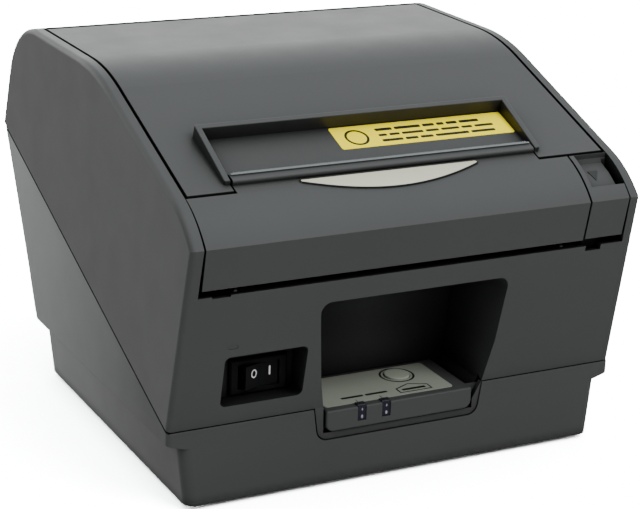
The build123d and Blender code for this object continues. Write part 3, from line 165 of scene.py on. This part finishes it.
def worn_and_highlit_edges(tree, coords, base, soft_normal, color, edge_wear_and_highlight):
    """The base colour, paler in patches along the edges, where the softened normal turns: partly
    wear, partly a painted highlight.
    """
    dot = tree.nodes.new("ShaderNodeVectorMath")
    dot.operation = "DOT_PRODUCT"
    tree.links.new(soft_normal, dot.inputs[0])
    tree.links.new(face_normal(tree), dot.inputs[1])
    turned = span(tree, dot.outputs["Value"], 0.0, 1.0, 0.995, 0.90)
    patches = span(tree, noise(tree, coords, PATCH_SCALE, 3.0), 0.0, 2 * edge_wear_and_highlight)
    rubbed_and_highlit = tuple(min(1.0, c * 2.2 + 0.05) for c in color)
    return color_mix(tree, maths(tree, "MULTIPLY", turned, patches), base, (*rubbed_and_highlit, 1.0))


def grained_normal(tree, coords, fine, soft_normal, grain, grain_scale, pits):
    """The softened normal with the grain on it, and the cells of a moulded texture."""
    height = fine
    if pits:
        cells = tree.nodes.new("ShaderNodeTexVoronoi")
        cells.inputs["Scale"].default_value = grain_scale / 2
        tree.links.new(coords, cells.inputs["Vector"])
        height = maths(tree, "ADD", fine, maths(tree, "MULTIPLY", cells.outputs["Distance"], pits))
    bump = tree.nodes.new("ShaderNodeBump")
    bump.inputs["Strength"].default_value = grain
    bump.inputs["Distance"].default_value = GRAIN_DEPTH
    tree.links.new(height, bump.inputs["Height"])
    tree.links.new(soft_normal, bump.inputs["Normal"])
    return bump.outputs["Normal"]


def surface(name, color, rough, grain, grain_scale=2500.0, vary=0.08, metal=0.0, edge=0.25, edge_wear_and_highlight=0.0,
            stretch=None, spec=0.5, coat=0.0, pits=0.0, sheen_gain=0.0, shade=0.0, reach=45.0):
    """Procedural finish: colour drift, gloss drift, fine grain and softened edges, paler partly from
    wear and partly from a painted highlight; painted shade in hollows and a painted sheen on sideways
    faces.
    Scales are per metre, since every object keeps its place in its mesh. Edge and reach are in mm."""
    mat, tree, shader = new_material(name)
    coords = tree.nodes.new("ShaderNodeTexCoord").outputs["Object"]
    grain_coords = stretched(tree, coords, stretch) if stretch else coords
    fine = noise(tree, grain_coords, grain_scale, 3.0, 0.6)

    value = drifting_value(tree, coords, fine, vary)
    # Painted shade: the colour and the specular level darken in hollows, creases and between parts.
    if shade:
        shade_factor = painted_recess_shade(tree, shade, reach)
        value = maths(tree, "MULTIPLY", value, shade_factor)
        tree.links.new(maths(tree, "MULTIPLY", shade_factor, spec), shader.inputs["Specular IOR Level"])
    # Painted sheen: faces that look sideways grow paler towards the rear, like a reflection of bright
    # surroundings.
    if sheen_gain:
        value = maths(tree, "MULTIPLY", value, painted_sheen_factor(tree, coords, sheen_gain))
    tint = tree.nodes.new("ShaderNodeHueSaturation")
    tint.inputs["Color"].default_value = (*color, 1.0)
    tree.links.new(value, tint.inputs["Value"])
    base = tint.outputs["Color"]

    bevel = tree.nodes.new("ShaderNodeBevel")
    bevel.samples = 4
    bevel.inputs["Radius"].default_value = edge * MM
    soft_normal = bevel.outputs["Normal"]
    # Paler edges: partly wear, partly a painted highlight.
    if edge_wear_and_highlight:
        base = worn_and_highlit_edges(tree, coords, base, soft_normal, color, edge_wear_and_highlight)
    normal = grained_normal(tree, coords, fine, soft_normal, grain, grain_scale, pits)
    tree.links.new(base, shader.inputs["Base Color"])
    tree.links.new(normal, shader.inputs["Normal"])

    smears = noise(tree, coords, SMEAR_SCALE, 3.0)
    low, high = max(0.02, rough - GLOSS_CHANGE), min(1.0, rough + GLOSS_CHANGE)
    tree.links.new(span(tree, smears, low, high), shader.inputs["Roughness"])
    shader.inputs["Metallic"].default_value = metal
    shader.inputs["Specular IOR Level"].default_value = spec
    shader.inputs["Coat Weight"].default_value = coat
    mat.diffuse_color = (*color, 1.0)
    return mat


# ---------------------------------------------------------------- finishes of the CAD nodes
charcoal = (0.050, 0.050, 0.0495)
case_look = dict(color=charcoal, grain=0.30, edge_wear_and_highlight=0.05, vary=0.05, pits=0.6)
finish = {
    # case_plastic and dark_plastic carry painted shade: their colour and specular level darken in
    # hollows.
    "case_plastic": surface("case_plastic", rough=0.40, edge=0.15, shade=0.85, **case_look),
    # A copy of the case plastic with a painted sheen on its sides and painted shade near the floor
    # and in seams.
    "case_lower_sheen_shade": surface("case_lower_sheen_shade", rough=0.44, sheen_gain=4.2, shade=1.0, reach=8.0, **case_look),
    # A copy of the case plastic with weaker painted shade.
    "case_console_less_shade": surface("case_console_less_shade", rough=0.42, shade=0.5, reach=12.0, **case_look),
    "dark_plastic": surface("dark_plastic", (0.010, 0.010, 0.011), 0.34, grain=0.15, edge_wear_and_highlight=0.05,
                            shade=0.3),
    "bay_plastic": surface("bay_plastic", (0.030, 0.030, 0.031), 0.5, grain=0.3),
    "foot_rubber": surface("foot_rubber", (0.02, 0.02, 0.02), 0.85, grain=0.6, grain_scale=1200),
    "platen_rubber": surface("platen_rubber", (0.03, 0.03, 0.032), 0.72, grain=0.5,
                             stretch=(0.15, 1.0, 1.0)),
    "zinc_steel": surface("zinc_steel", (0.56, 0.56, 0.55), 0.32, metal=1.0, grain=0.12,
                          grain_scale=900, vary=0.12),
    "bright_steel": surface("bright_steel", (0.66, 0.66, 0.66), 0.2, metal=1.0, grain=0.2,
                            stretch=(0.05, 1.0, 1.0)),
    "black_steel": surface("black_steel", (0.012, 0.012, 0.013), 0.4, metal=0.3, grain=0.15),
    "screw_steel": surface("screw_steel", (0.45, 0.45, 0.44), 0.3, metal=1.0, grain=0.15, vary=0.1),
    "spring_steel": surface("spring_steel", (0.5, 0.5, 0.52), 0.28, metal=1.0, grain=0.1),
    "gear_plastic": surface("gear_plastic", (0.72, 0.70, 0.63), 0.42, grain=0.2),
    "bearing_plastic": surface("bearing_plastic", (0.18, 0.18, 0.19), 0.5, grain=0.2),
    "heatsink_alu": surface("heatsink_alu", (0.62, 0.63, 0.64), 0.36, metal=1.0, grain=0.25,
                            stretch=(0.04, 1.0, 1.0)),
    "head_ceramic": surface("head_ceramic", (0.62, 0.60, 0.52), 0.18, grain=0.05, coat=0.4),
    "board_green": surface("board_green", (0.012, 0.12, 0.045), 0.3, grain=0.2, grain_scale=700,
                           coat=0.3),
    "chip_black": surface("chip_black", (0.02, 0.02, 0.022), 0.55, grain=0.4),
    "can_sleeve": surface("can_sleeve", (0.02, 0.03, 0.12), 0.25, grain=0.1, coat=0.4),
    "motor_steel": surface("motor_steel", (0.38, 0.38, 0.39), 0.35, metal=1.0, grain=0.2),
    "cable_film": surface("cable_film", (0.7, 0.69, 0.62), 0.3, grain=0.4,
                          grain_scale=500, stretch=(2.0, 0.02, 0.02)),
    "label_film": surface("label_film", (0.34, 0.36, 0.30), 0.36, grain=0.12, metal=0.25,
                          stretch=(0.2, 1.0, 1.0)),
    "lamp_clear": surface("lamp_clear", (0.016, 0.017, 0.022), 0.10, grain=0.04, coat=0.5),
    "button_grey": surface("button_grey", (0.30, 0.32, 0.265), 0.42, grain=0.2),
    "badge_metal": surface("badge_metal", (0.84, 0.81, 0.62), 0.33, metal=0.55, grain=0.15,
                           stretch=(0.1, 1.0, 1.0)),
    "socket_black": surface("socket_black", (0.012, 0.012, 0.012), 0.4, grain=0.2),
}
# lower_case and console_panel get copies of the case plastic with their own painted sheen and painted
# shade.
painted_light_copy_of = {"lower_case": "case_lower_sheen_shade", "console_panel": "case_console_less_shade"}
slot_of = {s["node"]: s["material_slot"] for s in frame["record"]["subparts"]}
for node_name, obj in nodes.items():
    mat = finish[painted_light_copy_of.get(node_name, slot_of[node_name])]
    if not obj.material_slots:
        obj.data.materials.append(mat)
    for material_slot in obj.material_slots:
        material_slot.material = mat

ink_black = surface("ink_black", (0.008, 0.008, 0.008), 0.45, grain=0.1, grain_scale=5000, vary=0.15)
ink_white = surface("ink_white", (0.80, 0.80, 0.78), 0.45, grain=0.1, grain_scale=5000, vary=0.05)
sticker_vinyl = surface("sticker_vinyl", (0.95, 0.77, 0.0), 0.42, grain=0.10, grain_scale=900,
                        vary=0.02, spec=0.12)
border_paint = surface("border_paint", (0.020, 0.020, 0.019), 0.40, grain=0.1)
# Pale paint for the painted glints on the lamp windows.
lamp_glint_paint = surface("lamp_glint_paint", (0.26, 0.24, 0.32), 0.20, grain=0.05, coat=0.6)


# ---------------------------------------------------------------- sheets, outlines and meshes
class Sheet:
    """A flat frame on a surface: u and v in millimetres along it, lift in millimetres off it."""

    def __init__(self, origin, normal, along):
        self.origin = Vector(origin)
        self.n = Vector(normal).normalized()
        self.u = (Vector(along) - self.n * self.n.dot(Vector(along))).normalized()
        self.v = self.n.cross(self.u)

    def at(self, u, v, lift=0.0):
        return self.origin + (self.u * u + self.v * v + self.n * lift) * MM


def strike(node, start, direction):
    """Where a ray from start first meets a CAD node: (point, normal facing the ray)."""
    mesh = nodes[node].data
    tree = BVHTree.FromPolygons([v.co for v in mesh.vertices], [p.vertices for p in mesh.polygons])
    point, normal, _, _ = tree.ray_cast(Vector(start), Vector(direction).normalized())
    if normal.dot(Vector(direction)) > 0:
        normal = -normal
    return point, normal


def disc(u, v, radius, count=40):
    steps = [2 * math.pi * i / count for i in range(count)]
    return [(u + radius * math.cos(a), v + radius * math.sin(a)) for a in steps]


def plate(u0, v0, u1, v1, corner):
    """Rounded rectangle, counter-clockwise."""
    steps = 5   # straight pieces in each rounded corner
    centres = ((u1 - corner, v1 - corner, 0), (u0 + corner, v1 - corner, 90),
               (u0 + corner, v0 + corner, 180), (u1 - corner, v0 + corner, 270))
    points = []
    for u, v, start in centres:
        for i in range(steps + 1):
            a = math.radians(start + 90 * i / steps)
            points.append((u + corner * math.cos(a), v + corner * math.sin(a)))
    return points


def grown(points, shift):
    """A counter-clockwise outline moved outwards by shift."""
    sharpest = 0.3
    moved = []
    for i, here in enumerate(points):
        before = Vector(here) - Vector(points[i - 1])
        after = Vector(points[(i + 1) % len(points)]) - Vector(here)
        first = Vector((before.y, -before.x)).normalized()
        second = Vector((after.y, -after.x)).normalized()
        middle = (first + second).normalized()
        moved.append(tuple(Vector(here) + middle * (shift / max(sharpest, middle.dot(first)))))
    return moved


def band(points, width):
    """An outline drawn with a line of that width, as (outer, inner)."""
    return grown(points, width / 2), grown(points, -width / 2)


def settle(name, body, mesh, material):
    """Make an object of the mesh, give it its finish and let it ride on its body."""
    obj = bpy.data.objects.new(name, mesh)
    bpy.context.collection.objects.link(obj)
    obj.data.materials.append(material)
    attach(obj, body)
    return obj


def thin_piece(name, body, sheet, shapes, low, high, material):
    """Closed thin solids on a sheet. A shape is one outline, or an (outer, inner) pair for a ring."""
    mesh = bpy.data.meshes.new(name)
    bm = bmesh.new()
    for shape in shapes:
        is_ring = isinstance(shape[0][0], tuple)
        loops = shape if is_ring else (shape,)
        layers = []
        for loop in loops:
            bottom = [bm.verts.new(sheet.at(u, v, low)) for u, v in loop]
            top = [bm.verts.new(sheet.at(u, v, high)) for u, v in loop]
            layers.append((bottom, top))
        count = len(loops[0])
        for k, (bottom, top) in enumerate(layers):
            for i in range(count):
                j = (i + 1) % count
                quad = (bottom[i], bottom[j], top[j], top[i])
                bm.faces.new(quad if k == 0 else quad[::-1])
        if is_ring:
            (outer_low, outer_top), (inner_low, inner_top) = layers
            for i in range(count):
                j = (i + 1) % count
                bm.faces.new((outer_top[i], outer_top[j], inner_top[j], inner_top[i]))
                bm.faces.new((outer_low[j], outer_low[i], inner_low[i], inner_low[j]))
        else:
            bm.faces.new(layers[0][1])
            bm.faces.new(layers[0][0][::-1])
    bm.normal_update()
    bm.to_mesh(mesh)
    bm.free()
    return settle(name, body, mesh, material)


def tube(name, body, rings, radius, facing, material):
    """Closed tubes that follow closed rings of points, on a surface that looks towards facing."""
    sides = 8
    turns = [2 * math.pi * k / sides for k in range(sides)]
    mesh = bpy.data.meshes.new(name)
    bm = bmesh.new()
    for points in rings:
        loops = []
        count = len(points)
        for i, here in enumerate(points):
            run = (points[(i + 1) % count] - points[i - 1]).normalized()
            side = run.cross(Vector(facing)).normalized()
            rise = side.cross(run)
            loops.append([
                bm.verts.new(here + (side * math.cos(a) + rise * math.sin(a)) * radius) for a in turns
            ])
        for i in range(count):
            j = (i + 1) % count
            for k in range(sides):
                m = (k + 1) % sides
                bm.faces.new((loops[i][k], loops[i][m], loops[j][m], loops[j][k]))
    bmesh.ops.recalc_face_normals(bm, faces=bm.faces)
    for face in bm.faces:
        face.smooth = True
    bm.to_mesh(mesh)
    bm.free()
    return settle(name, body, mesh, material)


def thinned(ring, spacing):
    kept = []
    for point in ring:
        if not kept or (point - kept[-1]).length > spacing:
            kept.append(point)
    return kept


def rim_rings(node, up, limit, spacing):
    """Closed rings of points along the border of a node's faces that look towards up."""
    shortest = 8
    bm = bmesh.new()
    bm.from_mesh(nodes[node].data)
    bmesh.ops.remove_doubles(bm, verts=bm.verts, dist=1e-6)
    bm.normal_update()
    shown = {f for f in bm.faces if f.normal.dot(Vector(up).normalized()) > limit}
    links = {}
    for edge in bm.edges:
        if sum(f in shown for f in edge.link_faces) == 1:
            a, b = edge.verts
            links.setdefault(a, []).append(b)
            links.setdefault(b, []).append(a)
    rings = []
    while links:
        here = next(iter(links))
        ring = []
        while here is not None:
            ring.append(here.co.copy())
            ahead = links.pop(here)
            here = next((v for v in ahead if v in links), None)
        rings.append(thinned(ring, spacing))
    bm.free()
    return [ring for ring in rings if len(ring) > shortest]


# ---------------------------------------------------------------- sticker in the paper pocket
STICKER_LONG = 89.4
STICKER_DEEP = 16.4
STICKER_THICK = 0.12
INK_THICK = 0.03


def pocket_sheet():
    """The pocket's floor, with its origin where the right and the rear wall meet."""
    bar_low, bar_high = corners("tear_bar")
    over_pocket = (bar_low + bar_high) / 2 + Vector((20, 14, 12)) * MM
    floor_spot, floor_normal = strike("top_cover", over_pocket, (0, 0.343, -0.939))
    hover = floor_spot + floor_normal * 0.4 * MM
    right_wall, _ = strike("top_cover", hover, (1, 0, 0))
    up_slope = Vector((1, 0, 0)).cross(-floor_normal).normalized()
    rear_wall, _ = strike("top_cover", hover, up_slope)
    corner = Vector((right_wall.x, floor_spot.y, floor_spot.z))
    corner += up_slope * (rear_wall - hover).length
    return Sheet(corner, floor_normal, (1, 0, 0))


def sticker_bars():
    """Rows of bars, in place of words: (middle of the row, height, widths of its bars)."""
    first_u = -68.0
    gap = 1.3
    rows = ((-4.9, 2.0, (8.6, 13.4, 6.0, 3.8, 5.6, 10.2)),
            (-9.1, 1.7, (4.2, 5.2, 11.0, 6.8, 9.4, 5.6, 9.8)),
            (-13.2, 1.8, (10.6, 6.4, 6.6, 17.4, 12.6)))
    bars = []
    for row_v, row_high, widths in rows:
        u = first_u
        for wide in widths:
            bars.append(plate(u, row_v - row_high / 2, u + wide, row_v + row_high / 2, 0.6))
            u += wide + gap
    return bars


def pocket_sticker():
    pocket = pocket_sheet()
    side_gap, rear_gap = 0.3, 0.5
    vinyl = plate(-STICKER_LONG - side_gap, -STICKER_DEEP - rear_gap, -side_gap, -rear_gap, 1.2)
    thin_piece("pocket_sticker", "lid", pocket, [vinyl], 0.0, STICKER_THICK, sticker_vinyl)
    ring = band(disc(-79.0, -9.1, 5.2), 1.2)
    thin_piece("pocket_sticker_print", "lid", pocket, [ring] + sticker_bars(),
               STICKER_THICK, STICKER_THICK + INK_THICK, ink_black)


pocket_sticker()

# ---------------------------------------------------------------- console
key_low, key_high = corners("feed_button")
key = (key_low + key_high) / 2


def lamp_places():
    """Where the two lamp windows are, in millimetres to the right of the feed key."""
    xs = [v.co.x for v in nodes["lamp_windows"].data.vertices]
    middle = (min(xs) + max(xs)) / 2
    groups = ([x for x in xs if x < middle], [x for x in xs if x > middle])
    return [((min(g) + max(g)) / 2 - key.x) / MM for g in groups]


def console_print():
    """A ring round the feed key, an arrow outline, and plain bars in place of words."""
    label_top = corners("console_label")[1].z
    label = Sheet((key.x, key.y, label_top), (0, 0, 1), (1, 0, 0))
    ring_outer, ring_inner = 8.4, 7.4
    arrow_left, arrow_right, arrow_tip = -8.4, 7.8, -0.4
    arrow_foot, arrow_shoulder, arrow_top = -19.3, -14.6, -11.0
    arrow = [(arrow_left, arrow_foot), (arrow_right, arrow_foot), (arrow_right, arrow_shoulder),
             (arrow_tip, arrow_top), (arrow_left, arrow_shoulder)]
    arrow_bar = plate(-6.3, -17.6, 5.7, -15.7, 0.5)
    shapes = [(disc(0, 0, ring_outer), disc(0, 0, ring_inner)), band(arrow, 0.65), arrow_bar]
    for u in lamp_places():
        lamp_bar = plate(u - 5.6, -16.3, u + 5.6, -14.6, 0.5)
        lamp_tick = plate(u - 0.2, -21.1, u + 0.2, -18.6, 0.1)
        shapes += [lamp_bar, lamp_tick]
    thin_piece("console_print", "base", label, shapes, 0.0, INK_THICK, ink_black)


def lamp_glint_beads():
    """Bright spots, painted glints: small pale domes on the front of each window, as (share of its
    height, radius).
    """
    beads = ((0.22, 0.60), (0.68, 0.42))
    window_low, window_high = corners("lamp_windows")
    mesh = bpy.data.meshes.new("lamp_glint_beads")
    bm = bmesh.new()
    for u in lamp_places():
        x = key.x + (u + 0.2) * MM
        for share, size in beads:
            z = window_low.z + (window_high.z - window_low.z) * share
            point, normal = strike("lamp_windows", (x, window_low.y - 10 * MM, z), (0, 1, 0))
            turn = Vector((0, 0, 1)).rotation_difference(normal).to_matrix().to_4x4()
            squash = Matrix.Diagonal((size, size * 1.5, 0.22, 1.0))
            place = Matrix.Translation(point) @ turn @ squash
            bmesh.ops.create_uvsphere(bm, u_segments=16, v_segments=10, radius=MM, matrix=place)
    for face in bm.faces:
        face.smooth = True
    bm.to_mesh(mesh)
    bm.free()
    return settle("lamp_glint_beads", "base", mesh, lamp_glint_paint)


console_print()
lamp_glint_beads()


# ---------------------------------------------------------------- marks on the power rocker
def rocker_mark(name, offset, shape):
    """A white mark, offset in millimetres to the right of the rocker's middle."""
    low, high = corners("power_rocker")
    middle = (low + high) / 2
    start = (middle.x + offset * MM, low.y - 10 * MM, middle.z + 1.3 * MM)
    point, normal = strike("power_rocker", start, (0, 1, 0))
    thin_piece(name, "rocker", Sheet(point, normal, (1, 0, 0)), [shape], 0.0, 0.04, ink_white)


oval = [(u, v * 1.3) for u, v in disc(0, 0, 1.55, 28)]
oval_hole = [(u, v * 1.38) for u, v in disc(0, 0, 1.05, 28)]
rocker_mark("rocker_mark_off", -3.6, (oval, oval_hole))
rocker_mark("rocker_mark_on", 4.6, plate(-0.4, -2.1, 0.4, 2.1, 0.2))


# ---------------------------------------------------------------- lever pointer and badge border
def lever_pointer():
    """A raised triangle on the floor of the lever's recess, pointing to the front."""
    low, high = corners("cover_lever")
    start = (low.x + 9.2 * MM, low.y + 13.0 * MM, high.z + 10 * MM)
    point, normal = strike("cover_lever", start, (0, 0, -1))
    outline = [(-2.6, 2.6), (-0.6, -2.8), (2.6, 2.6)]
    thin_piece("lever_pointer", "lever", Sheet(point, normal, (1, 0, 0)), [outline],
               -0.05, 0.25, border_paint)


lever_pointer()
badge_rims = rim_rings("badge", (0, -0.6, 0.8), 0.5, 0.5 * MM)
tube("badge_border", "front", badge_rims, 0.32 * MM, (0, -0.34, 0.94), border_paint)

# ---------------------------------------------------------------- studio
FLOOR_SHOWN = 14.0          # how bright the camera sees the floor
BACKDROP_SHOWN = 22.0       # how bright the camera sees the background
FLOOR_REACH = 6.0
WALL_GLOW = 2.4
COOL_LIGHT = (0.90, 1.0, 1.03, 1.0)
WARM_LIGHT = (1.0, 0.995, 0.985, 1.0)


def soft_light(name, place, aim, size, power):
    """A square area light that doesn't show in reflections."""
    light = bpy.data.lights.new(name, "AREA")
    light.energy = power
    light.size = size
    obj = bpy.data.objects.new(name, light)
    bpy.context.collection.objects.link(obj)
    obj.location = place
    obj.rotation_euler = (Vector(aim) - Vector(place)).to_track_quat("-Z", "Y").to_euler()
    obj.visible_glossy = False


def camera_ray(tree):
    return tree.nodes.new("ShaderNodeLightPath").outputs["Is Camera Ray"]


def floor_paper():
    """White paper that the camera sees lit much brighter than the object does."""
    mat = surface("floor_paper", (0.90, 0.90, 0.90), 0.8, grain=0.05, vary=0.01)
    tree = mat.node_tree
    shown = tree.nodes.new("ShaderNodeBsdfDiffuse")
    shown.inputs["Color"].default_value = (FLOOR_SHOWN, FLOOR_SHOWN, FLOOR_SHOWN, 1.0)
    mix = tree.nodes.new("ShaderNodeMixShader")
    tree.links.new(camera_ray(tree), mix.inputs["Fac"])
    tree.links.new(tree.nodes["Principled BSDF"].outputs["BSDF"], mix.inputs[1])
    tree.links.new(shown.outputs["BSDF"], mix.inputs[2])
    tree.links.new(mix.outputs["Shader"], tree.nodes["Material Output"].inputs["Surface"])
    return mat


def floor_plane():
    r = FLOOR_REACH
    mesh = bpy.data.meshes.new("floor")
    mesh.from_pydata([(-r, -r, 0), (r, -r, 0), (r, r, 0), (-r, r, 0)], [], [(0, 1, 2, 3)])
    obj = bpy.data.objects.new("floor", mesh)
    bpy.context.collection.objects.link(obj)
    obj.data.materials.append(floor_paper())
    obj.visible_glossy = False


def wall_level(tree, direction, low):
    """Light of the wall low down behind the object, which ends towards the left."""
    behind = span(tree, direction["Y"], 0.0, 1.0, -0.1, 0.8)
    above_floor = span(tree, direction["Z"], 0.22, 1.0, -0.1, 0.1)
    lit_side = span(tree, direction["X"], 0.0, 1.0, -0.78, -0.46)
    level = maths(tree, "MULTIPLY", maths(tree, "MULTIPLY", behind, low), above_floor)
    return maths(tree, "MULTIPLY", level, lit_side)


def ceiling_level(tree, direction):
    """Light from above, dim, and stronger straight overhead on the camera's side."""
    rising = span(tree, direction["Z"], 0.04, 0.38, 0.15, 0.75)
    overhead = span(tree, direction["Z"], 0.0, 0.75, 0.45, 0.90)
    near_camera = span(tree, direction["Y"], 1.0, 0.0, -0.05, 0.45)
    return maths(tree, "ADD", rising, maths(tree, "MULTIPLY", overhead, near_camera))


def studio_world():
    """A pale studio: bright wall low down behind the object, dim overhead and towards the camera."""
    world = bpy.data.worlds.new("studio")
    bpy.context.scene.world = world
    world.use_nodes = True
    tree = world.node_tree
    direction = split_xyz(tree, tree.nodes.new("ShaderNodeTexCoord").outputs["Generated"])
    low = span(tree, direction["Z"], 1.0, 0.0, 0.18, 0.72)
    wall = maths(tree, "MULTIPLY", wall_level(tree, direction, low), WALL_GLOW)
    strength = tree.nodes.new("ShaderNodeMix")
    tree.links.new(camera_ray(tree), strength.inputs["Factor"])
    tree.links.new(maths(tree, "ADD", wall, ceiling_level(tree, direction)), strength.inputs["A"])
    strength.inputs["B"].default_value = BACKDROP_SHOWN
    background = tree.nodes["Background"]
    tree.links.new(color_mix(tree, low, COOL_LIGHT, WARM_LIGHT), background.inputs["Color"])
    tree.links.new(strength.outputs[0], background.inputs["Strength"])


def studio_camera():
    """A long lens that looks at the printer from the left front and from above."""
    place = (-0.4106, -0.8030, 0.3779)
    yaw = math.radians(27.672)
    pitch = math.radians(18.682)
    roll = math.radians(2.115)
    forward = Vector((math.sin(yaw) * math.cos(pitch), math.cos(yaw) * math.cos(pitch),
                      -math.sin(pitch)))
    level = Vector((math.cos(yaw), -math.sin(yaw), 0.0))
    upward = level.cross(forward)
    right = level * math.cos(roll) + upward * math.sin(roll)
    top = upward * math.cos(roll) - level * math.sin(roll)
    data = bpy.data.cameras.new("camera")
    data.sensor_width = 36.0
    data.lens = 109.47
    data.clip_start = 0.01
    camera = bpy.data.objects.new("camera", data)
    bpy.context.collection.objects.link(camera)
    turn = Matrix((right, top, -forward)).transposed().to_4x4()
    camera.matrix_world = Matrix.Translation(place) @ turn
    bpy.context.scene.camera = camera


floor_plane()
studio_world()
soft_light("top_soft", (0.0, 0.25, 1.4), aim=(0.0, 0.05, 0.1), size=1.4, power=14.0)
soft_light("front_soft", (0.45, -1.12, 1.28), aim=(0.0, -0.05, 0.08), size=0.8, power=22.0)
soft_light("left_fill", (-1.3, 0.3, 0.5), aim=(0.0, 0.0, 0.08), size=0.8, power=3.0)
studio_camera()
